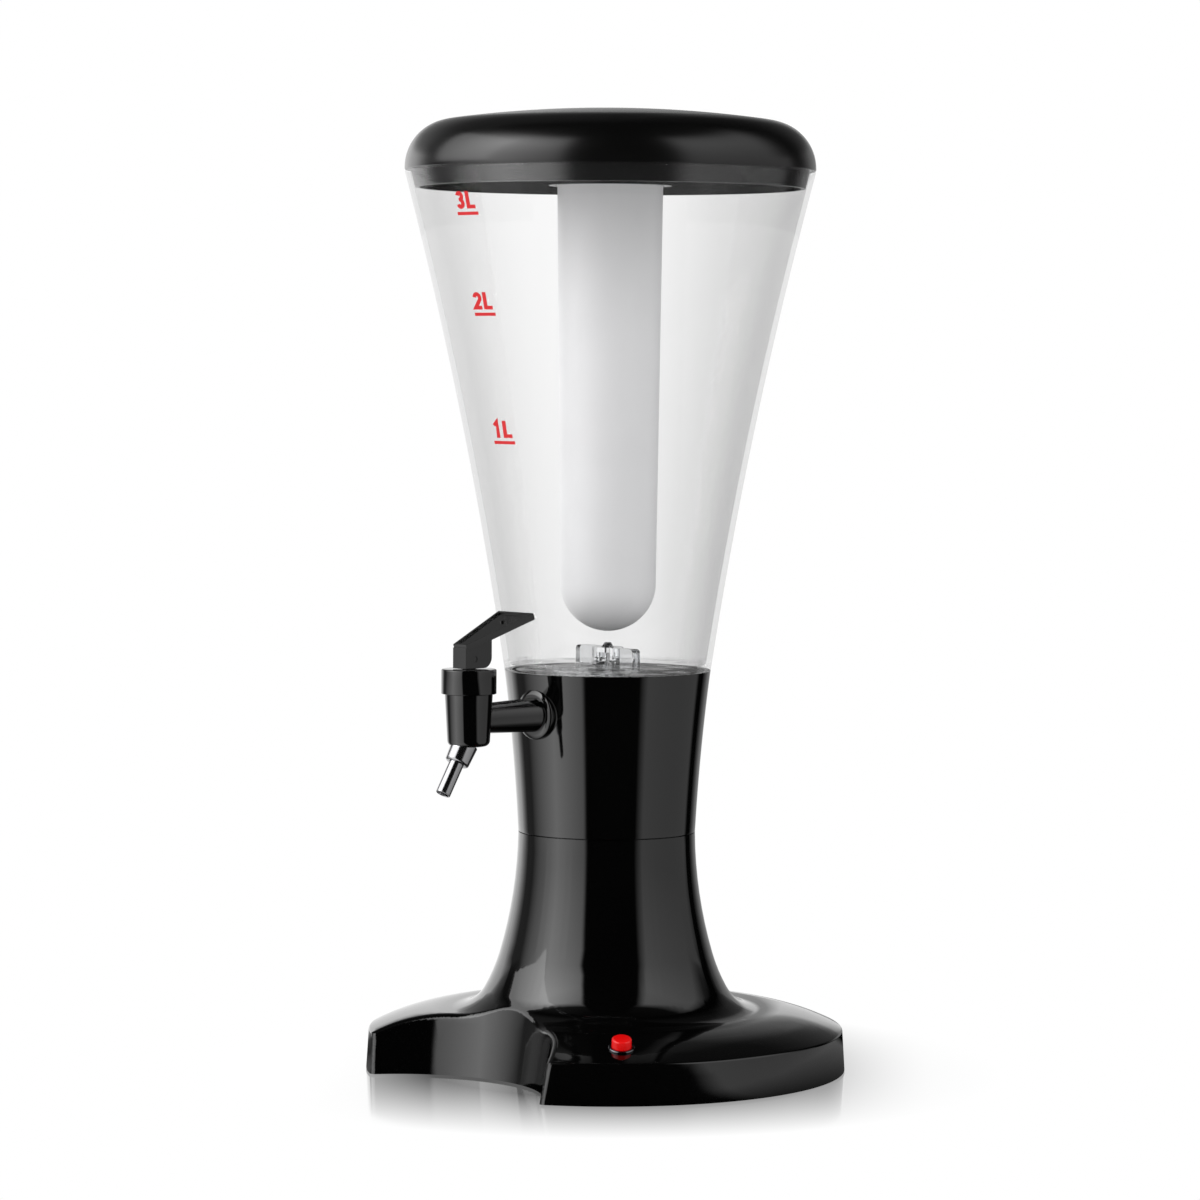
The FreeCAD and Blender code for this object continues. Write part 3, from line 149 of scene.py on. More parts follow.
def addBump(tree, shader, grain, strength, depth):
    bump = tree.nodes.new("ShaderNodeBump")
    bump.inputs["Strength"].default_value = strength
    bump.inputs["Distance"].default_value = depth * mm
    wire(tree, grain, bump.inputs["Height"])
    wire(tree, bump.outputs["Normal"], shader.inputs["Normal"])


def mouldedBlack(name, tone, roughness, spread, grain, depth, ior=1.5):
    material, tree, shader = finish(name, (tone, tone, tone * 1.05), roughness, IOR=ior)
    varyRoughness(tree, shader, grainNoise(tree, 35), roughness - spread, roughness + spread)
    addBump(tree, shader, grainNoise(tree, grain), 0.35, depth)
    varyColour(tree, shader, grainNoise(tree, 12), (tone * 0.8,) * 3, (tone * 1.2,) * 3)
    return material


glossBlack = mouldedBlack("glossBlack", tone=0.0012, roughness=0.06, spread=0.02, grain=90, depth=0.02,
                          ior=1.68)
satinBlack = mouldedBlack("satinBlack", tone=0.002, roughness=0.22, spread=0.02, grain=60, depth=0.02,
                          ior=1.6)
insertBlack = mouldedBlack("insertBlack", tone=0.01, roughness=0.2, spread=0.02, grain=60, depth=0.02,
                           ior=2.0)
mattBlack = mouldedBlack("mattBlack", tone=0.02, roughness=0.55, spread=0.06, grain=1800, depth=0.06)
softRubber = mouldedBlack("softRubber", tone=0.03, roughness=0.75, spread=0.05, grain=1200, depth=0.08)


def clearPlastic(name, tint, roughness, ior, shadowTint):
    # light passes to what stands inside it, so the shadow rays go straight through
    material, tree, shader = finish(name, tint, roughness, Transmission_Weight=1.0, IOR=ior)
    varyRoughness(tree, shader, grainNoise(tree, 20), roughness * 0.7, roughness * 1.3 + 0.01)
    shadowRay = tree.nodes.new("ShaderNodeLightPath").outputs["Is Shadow Ray"]
    showShader(tree, mixShaders(tree, shadowRay, shader.outputs["BSDF"], straightThrough(tree, shadowTint)))
    return material


fittingClear = clearPlastic("fittingClear", tint=(0.9, 0.91, 0.92), roughness=0.03, ior=1.49,
                            shadowTint=(0.85, 0.85, 0.85, 1))

# tint and gloss go by how far the wall is seen along its skin, and the see-through tint carries painted
# shade, darker towards the bottom and towards one side; each span is a low and a high value, in metres for a
# height or a width, and what it gives at each
vesselLook = {"colour": (0.985, 0.988, 0.99), "roughness": 0.02, "smoothest": 0.015, "roughest": 0.03,
              "ior": 1.46, "tint": [(0.08, 0.99), (0.62, 0.915), (1.0, 0.9333)],
              "gloss": [(0.0, 0.025), (0.6, 0.04), (0.9, 0.1), (1.0, 0.175)],
              "paintedShadeBelow": (0.19, 0.42, 0.968, 1.0), "paintedShadeAside": (0.005, 0.05, 1.0, 0.97),
              "paintedShadeAxis": (0.7, 0.714, 0), "floorEnds": (0.1945, 0.1955, 1.0, 0.0),
              "rippleScale": 55, "ripples": (0.4, 0.62, 0.03, 0.5)}


def thinWall(name, look):
    # straight through in the middle, greyer and shinier where it is seen along its skin, with painted shade
    # low down and to one side
    material, tree, shader = finish(name, look["colour"], look["roughness"], Transmission_Weight=1.0,
                                    IOR=look["ior"])
    varyRoughness(tree, shader, grainNoise(tree, 20), look["smoothest"], look["roughest"])
    place = tree.nodes.new("ShaderNodeTexCoord").outputs["Object"]
    height = along(tree, place, up)
    slant = tree.nodes.new("ShaderNodeLayerWeight")
    slant.inputs["Blend"].default_value = 0.5
    tint = tree.nodes.new("ShaderNodeVectorMath")
    tint.operation = "SCALE"
    wire(tree, rampOf(tree, slant.outputs["Facing"], look["tint"]), tint.inputs[0])
    # painted shade: the see-through tint is scaled darker towards the bottom and towards the side the shade
    # axis points to
    wire(tree, mathNode(tree, "MULTIPLY", spanOf(tree, height, *look["paintedShadeBelow"]),
                        spanOf(tree, along(tree, place, look["paintedShadeAxis"]), *look["paintedShadeAside"])),
         tint.inputs["Scale"])
    # the thick floor bends light like solid plastic, in ripples
    ripples = spanOf(tree, grainNoise(tree, look["rippleScale"], 4.0, (1, 1, 0.2)), *look["ripples"])
    rippled = mathNode(tree, "MULTIPLY", spanOf(tree, height, *look["floorEnds"]), ripples)
    solid = mathNode(tree, "MAXIMUM", rampOf(tree, slant.outputs["Facing"], look["gloss"]), rippled)
    showShader(tree, mixShaders(tree, solid, straightThrough(tree, tint.outputs["Vector"]),
                                shader.outputs["BSDF"]))
    return material


vesselClear = thinWall("vesselClear", vesselLook)


def tonedFinish(name, colour, roughness, dark, light, grain, **sockets):
    # its colour wanders between a darker and a lighter tone
    material, tree, shader = finish(name, colour, roughness, **sockets)
    varyColour(tree, shader, grainNoise(tree, grain), dark, light)
    return material, tree, shader


frosted, frostedTree, frostedShader = tonedFinish("frosted", (0.86, 0.86, 0.87), 0.42, (0.84, 0.84, 0.85),
                                                  (0.88, 0.88, 0.89), 25, Subsurface_Weight=0.2)
frostedShader.inputs["Subsurface Radius"].default_value = (4 * mm, 4 * mm, 4 * mm)
addBump(frostedTree, frostedShader, grainNoise(frostedTree, 1500), 0.3, 0.03)

redButton, redTree, redShader = tonedFinish("redButton", (0.85, 0.004, 0.004), 0.18, (0.82, 0.003, 0.003),
                                            (0.88, 0.005, 0.005), 120)
addBump(redTree, redShader, grainNoise(redTree, 900), 0.2, 0.02)

redInk = tonedFinish("redInk", (0.62, 0.003, 0.007), 0.45, (0.6, 0.002, 0.005), (0.66, 0.004, 0.009), 700)[0]


def metal(name, colour, roughness, smoothest, roughest, grain=300, stretch=(1, 1, 1)):
    material, tree, shader = finish(name, colour, roughness, Metallic=1.0)
    varyRoughness(tree, shader, grainNoise(tree, grain, stretch=stretch), smoothest, roughest)
    return material


polished = metal("polishedChrome", (0.42, 0.42, 0.43), 0.14, smoothest=0.12, roughest=0.18)
darkChrome = metal("darkChrome", (0.16, 0.16, 0.17), 0.12, smoothest=0.1, roughest=0.16)
turnedSteel = metal("turnedSteel", (0.6, 0.6, 0.6), 0.3, smoothest=0.2, roughest=0.4, grain=400,
                    stretch=(1, 8, 1))


def plainFinish(name, colour, roughness, **sockets):
    darker = tuple(value * 0.92 for value in colour)
    material, tree, shader = tonedFinish(name, colour, roughness, darker, colour, 60, **sockets)
    addBump(tree, shader, grainNoise(tree, 900), 0.3, 0.03)
    return material


greySilicone = plainFinish("greySilicone", (0.55, 0.56, 0.56), 0.5)
milkyHose = plainFinish("milkyHose", (0.72, 0.73, 0.72), 0.45)
whiteBoard = plainFinish("whiteBoard", (0.75, 0.76, 0.75), 0.4)
frostedLens = plainFinish("frostedLens", (0.85, 0.85, 0.85), 0.5)
clearLamp = plainFinish("clearLamp", (0.85, 0.86, 0.88), 0.1, Transmission_Weight=0.6)
batterySleeve = plainFinish("batterySleeve", (0.5, 0.51, 0.53), 0.3, Metallic=0.8)
redSheath = plainFinish("redSheath", (0.45, 0.02, 0.02), 0.5)
print("finishes made")


# profiles are drawn in millimetres as (distance from the axis, height), then turned round Z
def lineTo(shape, tip, x, z):
    grown = bmesh.ops.extrude_vert_indiv(shape, verts=[tip])["verts"][0]
    grown.co = (x * mm, 0, z * mm)
    return grown


def arcTo(shape, tip, x, z, radius, steps):
    # swings the last point round to the next one, with the centre on the left, or on the right when negative
    here, there = Vector((tip.co.x, tip.co.z)), Vector((x * mm, z * mm))
    run = there - here
    depth = math.sqrt(max((radius * mm) ** 2 - run.length_squared / 4, 0))
    side = math.copysign(1, radius)
    centre = (here + there) / 2 + Vector((-run.y, run.x)).normalized() * depth * side
    swing = 2 * math.asin(min(run.length / 2 / abs(radius * mm), 1)) * side
    swept = bmesh.ops.spin(shape, geom=[tip], cent=(centre.x, 0, centre.y), axis=(0, -1, 0), dvec=(0, 0, 0),
                           angle=swing, space=Matrix.Identity(4), steps=steps, use_merge=False,
                           use_duplicate=False)
    last = [item for item in swept["geom_last"] if isinstance(item, bmesh.types.BMVert)][0]
    last.co = (x * mm, 0, z * mm)
    return last


def drawProfile(first, *steps):
    # each step is (x, z) for a line, or (x, z, radius, points) for an arc
    shape = bmesh.new()
    corners = [shape.verts.new((first[0] * mm, 0, first[1] * mm))]
    for step in steps:
        draw = lineTo if len(step) == 2 else arcTo
        corners.append(draw(shape, corners[-1], *step))
    return shape, corners


facesRound = {"small": 96, "cap": 128, "tube": 192, "wide": 256}


def turned(profile, faces, rounded=(), closed=False):
    # rounded lists the numbers of the profile's corners, the radius that rounds them, and its points
    shape, corners = drawProfile(*profile)
    if closed:
        shape.edges.new((corners[-1], corners[0]))
    for numbers, radius, points in rounded:
        bmesh.ops.bevel(shape, geom=[corners[number] for number in numbers], offset=radius * mm,
                        offset_type="OFFSET", segments=points, profile=0.5, affect="VERTICES", material=-1)
    bmesh.ops.spin(shape, geom=shape.verts[:] + shape.edges[:], cent=(0, 0, 0), axis=(0, 0, 1),
                   dvec=(0, 0, 0), angle=2 * math.pi, space=Matrix.Identity(4), steps=faces, use_merge=True,
                   use_duplicate=False)
    bmesh.ops.remove_doubles(shape, verts=shape.verts, dist=1e-6)
    bmesh.ops.recalc_face_normals(shape, faces=shape.faces)
    return shape


def stand(shape, at, turn):
    # carries a shape made about +Z to its place: turned by a matrix, then moved
    bmesh.ops.rotate(shape, verts=shape.verts, cent=(0, 0, 0), matrix=turn)
    bmesh.ops.translate(shape, verts=shape.verts, vec=Vector(at) * mm)
    return shape


def copyOf(name):
    # the solid's loose triangles, merged into one skin with its flat faces whole
    shape = bmesh.new()
    shape.from_mesh(nodes[name].data)
    bmesh.ops.remove_doubles(shape, verts=shape.verts, dist=2e-6)
    bmesh.ops.dissolve_degenerate(shape, edges=shape.edges, dist=1e-6)
    bmesh.ops.dissolve_limit(shape, angle_limit=math.radians(0.05), verts=shape.verts, edges=shape.edges)
    return shape


def sharpEdges(shape, degrees):
    limit = math.radians(degrees)
    return [edge for edge in shape.edges
            if len(edge.link_faces) == 2 and edge.calc_face_angle(0) > limit]


def roundEdges(shape, edges, width):
    bmesh.ops.bevel(shape, geom=edges, offset=width * mm, offset_type="OFFSET", segments=3, profile=0.5,
                    affect="EDGES", material=-1, clamp_overlap=True)


def putInScene(name, data):
    thing = bpy.data.objects.new(name, data)
    bpy.context.scene.collection.objects.link(thing)
    return thing


def objectFrom(name, shape, material):
    mesh = bpy.data.meshes.new(name)
    shape.to_mesh(mesh)
    shape.free()
    mesh.materials.append(material)
    return putInScene(name, mesh)


shadingBreak = 32      # degrees between two faces from which an edge shows as sharp


def addPiece(name, shape, body, material, replaced=(), weighted=False):
    for face in shape.faces:
        face.smooth = True
    for edge in sharpEdges(shape, shadingBreak):
        edge.smooth = False
    piece = objectFrom(name, shape, material)
    if weighted:
        keep = piece.modifiers.new("weightedNormals", "WEIGHTED_NORMAL")
        keep.keep_sharp = True
    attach(piece, body)
    if replaced:
        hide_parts(*replaced)
    return piece


# the base, with the crease round its rim rounded off
crease = {"radius": 113.1, "height": 19.9, "round": 0.8, "radiusNear": 0.02, "heightNear": 0.01}


def onCrease(vert):
    aside = math.hypot(vert.co.x, vert.co.y) - crease["radius"] * mm
    above = vert.co.z - crease["height"] * mm
    return abs(above) < crease["heightNear"] * mm and abs(aside) < crease["radiusNear"] * mm


baseShape = copyOf("base_shell")
roundEdges(baseShape, [edge for edge in baseShape.edges if all(onCrease(vert) for vert in edge.verts)],
           crease["round"])
addPiece("baseShell", baseShape, "base", glossBlack, ["base_shell"], weighted=True)

# the switch leans with the dome it stands on
switch = {"at": (76.11, -64.55, 25.28), "facing": -40.3, "lean": 17.43}
switchTurn = (Matrix.Rotation(math.radians(switch["facing"]), 3, "Z")
              @ Matrix.Rotation(math.radians(switch["lean"]), 3, "Y"))

bezel = {"bore": 4.9, "neck": 5.55, "radius": 6.1, "foot": -6, "edge": 0.35, "top": 0.9, "topRadius": 5.5,
         "shoulder": 0.65, "round": 0.2}
bezelShape = turned([(bezel["bore"], bezel["foot"]), (bezel["neck"], bezel["foot"]), (bezel["neck"], 0),
                     (bezel["radius"], 0), (bezel["radius"], bezel["edge"]),
                     (bezel["topRadius"], bezel["top"], bezel["shoulder"], 5), (bezel["bore"], bezel["top"])],
                    facesRound["small"], [([6], bezel["round"], 4)], closed=True)
addPiece("switchBezel", stand(bezelShape, switch["at"], switchTurn), "base", darkChrome,
         ["switch_bezel"])

button = {"radius": 4.6, "skirt": -2, "top": 5.2, "edge": 1.1, "fall": 0.15, "crown": 30, "stem": 2,
          "stemFoot": -8}
buttonShape = turned([(0, button["stemFoot"]), (button["stem"], button["stemFoot"]),
                      (button["stem"], button["skirt"]), (button["radius"], button["skirt"]),
                      (button["radius"], button["top"] - button["edge"]),
                      (button["radius"] - button["edge"], button["top"] - button["fall"], button["edge"], 6),
                      (0, button["top"], button["crown"], 5)], facesRound["small"])
addPiece("switchButton", stand(buttonShape, switch["at"], switchTurn), "switch_button",
         redButton, ["switch_button"])
print("base made")

neck = {"foot": 114.1, "top": 191.0, "footRadius": 42.2, "topRadius": 49.1, "wall": 2.4, "curve": 1000.0,
        "innerFoot": 118.1, "innerFootRadius": 39.8, "spigotFoot": 104.8, "spigotBore": 37.3,
        "spigotRadius": 39.5, "round": 0.35}
neckShape = turned([(neck["footRadius"], neck["foot"]), (neck["topRadius"], neck["top"], -neck["curve"], 24),
                    (neck["topRadius"] - neck["wall"], neck["top"]),
                    (neck["innerFootRadius"], neck["innerFoot"], neck["curve"], 24),
                    (neck["spigotBore"], neck["foot"]), (neck["spigotBore"], neck["spigotFoot"]),
                    (neck["spigotRadius"], neck["spigotFoot"]), (neck["spigotRadius"], neck["foot"])],
                   facesRound["wide"], [([0], neck["round"], 3)], closed=True)
addPiece("neckShell", neckShape, "tower", glossBlack, ["neck_shell"])
print("neck made")

vessel = {"foot": 191.0, "floor": 193.4, "rim": 427.2, "footRadius": 49.1, "rimRadius": 97.3,
          "wall": 2.4, "curve": 2230.0, "drainHole": 6.05, "ringFoot": 185.0, "ringBore": 43.6,
          "ringRadius": 45.6, "rimRound": 0.6, "floorRound": 1.6, "footRound": 0.4}
vesselShape = turned(
    [(vessel["footRadius"], vessel["foot"]), (vessel["rimRadius"], vessel["rim"], -vessel["curve"], 48),
     (vessel["rimRadius"] - vessel["wall"], vessel["rim"]),
     (vessel["footRadius"] - vessel["wall"], vessel["floor"], vessel["curve"], 48),
     (vessel["drainHole"], vessel["floor"]), (vessel["drainHole"], vessel["foot"]),
     (vessel["ringBore"], vessel["foot"]), (vessel["ringBore"], vessel["ringFoot"]),
     (vessel["ringRadius"], vessel["ringFoot"]), (vessel["ringRadius"], vessel["foot"])],
    facesRound["wide"],
    [([1, 2], vessel["rimRound"], 3), ([3], vessel["floorRound"], 4), ([0], vessel["footRound"], 3)],
    closed=True)
addPiece("vesselWall", vesselShape, "tower", vesselClear, ["vessel"])

# the litre marks: heights of the bars, the lines' widths, and how far the ink stands off and up
marks = {"heights": {"1L": 299.7, "2L": 359.0, "3L": 405.1}, "letters": (-6.6, 0.5), "broad": 1.4,
         "stroke": 1.75, "bar": 1.5, "barHalf": 7, "gap": 1.4, "off": 0.02, "ink": 0.06, "sharpest": 0.45,
         "longest": 3, "cuts": 3}


def wallRadius(z):
    # the vessel's outer radius at a height, both in millimetres
    foot = Vector((vessel["footRadius"], vessel["foot"]))
    rim = Vector((vessel["rimRadius"], vessel["rim"]))
    run = rim - foot
    depth = math.sqrt(vessel["curve"] ** 2 - run.length_squared / 4)
    centre = (foot + rim) / 2 + Vector((run.y, -run.x)).normalized() * depth
    return centre.x - math.sqrt(vessel["curve"] ** 2 - (z - centre.y) ** 2)


def wrapOnVessel(shape, z):
    # bends flat ink, drawn in x and y millimetres, round the vessel's front
    for vert in shape.verts:
        height = z + vert.co.y
        radius = wallRadius(height) + marks["off"] + vert.co.z
        angle = vert.co.x / radius
        vert.co = Vector((radius * math.sin(angle), -radius * math.cos(angle), height)) * mm


def bend(middleX, middleY, radius, start, end, steps=12):
    # points along an arc, from one angle in degrees to another
    angles = [math.radians(start + (end - start) * i / steps) for i in range(steps + 1)]
    return [(middleX + radius * math.cos(angle), middleY + radius * math.sin(angle)) for angle in angles]


# each figure as one line, in a box of 6.2 by 8
figures = {"1": [(1.1, 5.7), (3.3, 7.6), (3.3, 0)],
           "2": bend(3.0, 5.3, 1.85, 170, -25) + [(1.1, 0.9), (5.7, 0.9)],
           "3": bend(2.9, 5.7, 1.5, 165, -75) + bend(2.9, 2.45, 1.65, 75, -165),
           "L": [(1.0, 8.0), (1.0, 0.9), (5.4, 0.9)]}


def drawLine(shape, points, width, shift):
    # a flat band of one width along a line of points, then broadened
    path = [Vector((x / marks["broad"], y)) for x, y in points]
    rows = []
    for i, point in enumerate(path):
        before = (point - path[i - 1]).normalized() if i else (path[1] - point).normalized()
        after = (path[i + 1] - point).normalized() if i + 1 < len(path) else before
        across = Vector((-before.y - after.y, before.x + after.x)).normalized()
        reach = width / 2 / max(across.dot(Vector((-before.y, before.x))), marks["sharpest"])
        pair = [point + across * reach * side for side in (1, -1)]
        rows.append([shape.verts.new((edge.x * marks["broad"] + shift, edge.y, 0)) for edge in pair])
    for first, second in zip(rows, rows[1:]):
        shape.faces.new((first[0], first[1], second[1], second[0]))


for label, height in marks["heights"].items():
    ink = bmesh.new()
    for letter, shift in zip(label, marks["letters"]):
        drawLine(ink, figures[letter], marks["stroke"], shift)
    for vert in ink.verts:
        vert.co.y += marks["bar"] / 2 + marks["gap"]
    drawLine(ink, [(x, 0) for x in range(-marks["barHalf"], marks["barHalf"] + 1)], marks["bar"], 0)
    longEdges = [edge for edge in ink.edges if edge.calc_length() > marks["longest"]]
    bmesh.ops.subdivide_edges(ink, edges=longEdges, cuts=marks["cuts"])
    raised = bmesh.ops.extrude_face_region(ink, geom=ink.faces[:])["geom"]
    for vert in [item for item in raised if isinstance(item, bmesh.types.BMVert)]:
        vert.co.z += marks["ink"]
    wrapOnVessel(ink, height)
    bmesh.ops.recalc_face_normals(ink, faces=ink.faces)
    addPiece("mark" + label, ink, "tower", redInk)

addPiece("drainFitting", copyOf("drain_fitting"), "tower", fittingClear, ["drain_fitting"],
         weighted=True)
print("vessel and its marks made")

lid = {"top": 456.5, "foot": 427.5, "radius": 97.3, "wall": 2.2, "crown": 78.0, "crownCurve": 553.0,
       "shoulder": 429.1, "shoulderCurve": 22.5, "innerCrown": 77.69, "innerCrownHigh": 448.8,
       "innerCurve": 20.3, "round": 0.6}
crownHigh = lid["top"] - lid["crownCurve"] + math.sqrt(lid["crownCurve"] ** 2 - lid["crown"] ** 2)
lidInside = lid["radius"] - lid["wall"]
lidShape = turned([(0, lid["top"]), (lid["crown"], crownHigh, -lid["crownCurve"], 24),
                   (lid["radius"], lid["shoulder"], -lid["shoulderCurve"], 20), (lid["radius"], lid["foot"]),
                   (lidInside, lid["foot"]), (lidInside, lid["shoulder"]),
                   (lid["innerCrown"], lid["innerCrownHigh"], lid["innerCurve"], 16),
                   (0, lid["top"] - lid["wall"], lid["crownCurve"] - lid["wall"], 12)],
                  facesRound["wide"], [([3], lid["round"], 3)])
addPiece("lidShell", lidShape, "lid", satinBlack, ["lid_shell"])
addPiece("lidInsert", copyOf("lid_insert"), "lid", insertBlack, ["lid_insert"])

tube = {"top": 426.0, "end": 209.5, "topRadius": 25.1, "endRadius": 22.7, "wall": 2.0, "round": 0.5}
endHigh = tube["end"] + tube["endRadius"]
tubeShape = turned([(0, tube["end"]), (tube["endRadius"], endHigh, tube["endRadius"], 20),
                    (tube["topRadius"], tube["top"]), (tube["topRadius"] - tube["wall"], tube["top"]),
                    (tube["endRadius"] - tube["wall"], endHigh),
                    (0, tube["end"] + tube["wall"], -(tube["endRadius"] - tube["wall"]), 20)],
                   facesRound["tube"], [([2, 3], tube["round"], 3)])

# the lugs that lock the tube in the lid's socket
lugs = {"angles": (60, 180, 300), "size": (2.4, 12.4, 2.4), "at": (25.2, 0, 423.2)}
for degrees in lugs["angles"]:
    lug = bmesh.ops.create_cube(tubeShape, size=1)["verts"]
    bmesh.ops.scale(tubeShape, verts=lug, vec=Vector(lugs["size"]) * mm)
    bmesh.ops.translate(tubeShape, verts=lug, vec=Vector(lugs["at"]) * mm)
    lugTurn = Matrix.Rotation(math.radians(degrees), 3, "Z")
    bmesh.ops.rotate(tubeShape, verts=lug, cent=(0, 0, 0), matrix=lugTurn)
addPiece("iceTube", tubeShape, "ice_tube", frosted, ["ice_tube"])
print("lid and ice tube made")

# the tap stands in front of the neck; its shank and flange lie level, along -Y
tap = {"reach": 89.8, "height": 172.0}
tapAt = (0, -tap["reach"], tap["height"])
shankAt = (0, 0, tap["height"])
upright = Matrix.Identity(3)
outward = Matrix.Rotation(math.radians(90), 3, "X")

body = {"foot": -12.4, "footRadius": 7.1, "bulge": 2.8, "waist": -9.6, "waistRadius": 9.9, "top": 12.0,
        "topRadius": 11.1, "collarTop": 18.0, "collarRadius": 10.2, "bore": 7.2, "boreFoot": -4.6,
        "topRound": 0.3, "footRound": 0.4}
bodyShape = turned([(0, body["foot"]), (body["footRadius"], body["foot"]),
                    (body["waistRadius"], body["waist"], body["bulge"], 8), (body["topRadius"], body["top"]),
                    (body["collarRadius"], body["top"]), (body["collarRadius"], body["collarTop"]),
                    (body["bore"], body["collarTop"]), (body["bore"], body["boreFoot"]),
                    (0, body["boreFoot"])],
                   facesRound["cap"], [([3], body["topRound"], 3), ([1], body["footRound"], 3)])
stand(bodyShape, tapAt, upright)

shank = {"start": 21.4, "hoseRadius": 5, "thread": 36.4, "threadRadius": 8, "threadEnd": 51.4,
         "taper": 51.6, "taperRadius": 7.9, "end": 82.0, "endRadius": 7.0, "round": 0.8}
shankShape = turned([(0, shank["start"]), (shank["hoseRadius"], shank["start"]),
                     (shank["hoseRadius"], shank["thread"]), (shank["threadRadius"], shank["thread"]),
                     (shank["threadRadius"], shank["threadEnd"]), (shank["taperRadius"], shank["taper"]),
                     (shank["endRadius"], shank["end"]), (0, shank["end"])],
                    facesRound["small"], [([1], shank["round"], 3)])
shankMesh = bpy.data.meshes.new("shank")
stand(shankShape, shankAt, outward).to_mesh(shankMesh)
shankShape.free()
bodyShape.from_mesh(shankMesh)
addPiece("tapBody", bodyShape, "tower", glossBlack, ["tap_body"])

flange = {"bore": 8.06, "radius": 11.8, "back": 44.2, "edge": 48.2, "face": 49.3, "faceRadius": 9.6,
          "round": 0.6}
flangeShape = turned([(flange["bore"], flange["back"]), (flange["radius"], flange["back"]),
                      (flange["radius"], flange["edge"]), (flange["faceRadius"], flange["face"]),
                      (flange["bore"], flange["face"])],
                     facesRound["small"], [([2, 3], flange["round"], 3)], closed=True)
addPiece("tapFlange", stand(flangeShape, shankAt, outward), "tower", glossBlack, ["tap_flange"])

cap = {"bore": 10.3, "radius": 12.8, "foot": 12.0, "top": 23.5, "ceiling": 21.1, "rodHole": 2.98,
       "topRound": 0.7, "footRound": 0.3}
capShape = turned([(cap["bore"], cap["foot"]), (cap["radius"], cap["foot"]), (cap["radius"], cap["top"]),
                   (cap["rodHole"], cap["top"]), (cap["rodHole"], cap["ceiling"]),
                   (cap["bore"], cap["ceiling"])],
                  facesRound["cap"], [([2], cap["topRound"], 4), ([1], cap["footRound"], 3)], closed=True)
addPiece("tapCap", stand(capShape, tapAt, upright), "tower", glossBlack, ["tap_cap"])

nozzle = {"tilt": 31.6, "below": 7.6, "radius": 3.5, "bore": 2.8, "from": 4.6, "to": 30.5, "round": 0.2}
nozzleTurn = Matrix.Rotation(math.radians(180 - nozzle["tilt"]), 3, "X")
nozzleAt = (0, -tap["reach"], tap["height"] - nozzle["below"])
nozzleShape = turned([(nozzle["bore"], nozzle["from"]), (nozzle["radius"], nozzle["from"]),
                      (nozzle["radius"], nozzle["to"]), (nozzle["bore"], nozzle["to"])],
                     facesRound["small"], [([2, 3], nozzle["round"], 3)], closed=True)
addPiece("nozzleTube", stand(nozzleShape, nozzleAt, nozzleTurn), "tower", polished,
         ["nozzle_tube"])

sleeve = {"bore": 3.55, "radius": 6.2, "tipRadius": 5.7, "to": 14.5, "round": 0.9}
sleeveShape = turned([(sleeve["bore"], nozzle["from"]), (sleeve["radius"], nozzle["from"]),
                      (sleeve["tipRadius"], sleeve["to"]), (sleeve["bore"], sleeve["to"])],
                     facesRound["small"], [([2], sleeve["round"], 4)], closed=True)
addPiece("nozzleSleeve", stand(sleeveShape, nozzleAt, nozzleTurn), "tower", polished,
         ["nozzle_sleeve"])

# degrees under which faces are merged, degrees over which edges are rounded, and by how many millimetres
lever = {"flat": 0.5, "sharp": 30, "round": 0.45}
leverShape = copyOf("tap_lever")
bmesh.ops.dissolve_limit(leverShape, angle_limit=math.radians(lever["flat"]), verts=leverShape.verts,
                         edges=leverShape.edges)
roundEdges(leverShape, sharpEdges(leverShape, lever["sharp"]), lever["round"])
addPiece("tapLever", leverShape, "tap_lever", glossBlack, ["tap_lever"], weighted=True)
print("tap made")

innerFinishes = {
    "base_plate": mattBlack, "rubber_feet": softRubber, "plate_screws": turnedSteel,
    "battery_box": mattBlack, "battery_cells": batterySleeve, "battery_contacts": turnedSteel,
    "battery_door": mattBlack, "lamp_cup": mattBlack, "lamp_board": whiteBoard, "lamp_bulbs": clearLamp,
    "lamp_lens": frostedLens, "switch_body": mattBlack, "switch_wire": redSheath, "lamp_wire": softRubber,
    "drain_seal": greySilicone, "drain_nut": mattBlack, "drain_hose": milkyHose, "tap_washer": softRubber,
    "tap_nut": mattBlack, "tap_rod": satinBlack, "seat_cup": greySilicone, "lever_pin": glossBlack,
    "tube_seal": greySilicone}
for name, material in innerFinishes.items():
    nodes[name].data.materials.clear()
    nodes[name].data.materials.append(material)
print("inner pieces finished")

# the camera's place in metres, how far it is turned off the axis, tipped down and rolled, in degrees
camera = {"azimuth": 45.5, "aim": 0.104, "distance": 2.09, "height": 0.341, "pitch": 3.2, "roll": 0.32,
          "lens": 132.0, "sensor": 36}
facing = math.radians(camera["azimuth"])
toCamera = Vector((math.sin(facing), -math.cos(facing), 0))
toRight = Vector((math.cos(facing), math.sin(facing), 0))

lens = bpy.data.cameras.new("camera")
lens.lens = camera["lens"]
lens.sensor_width = camera["sensor"]
cameraObject = putInScene("camera", lens)
heading = math.radians(camera["azimuth"] + camera["aim"])
look = (Matrix.Rotation(heading, 4, "Z") @ Matrix.Rotation(math.radians(90 - camera["pitch"]), 4, "X")
        @ Matrix.Rotation(math.radians(camera["roll"]), 4, "Z"))
cameraObject.matrix_world = Matrix.Translation(toCamera * camera["distance"] + up * camera["height"]) @ look
bpy.context.scene.camera = cameraObject

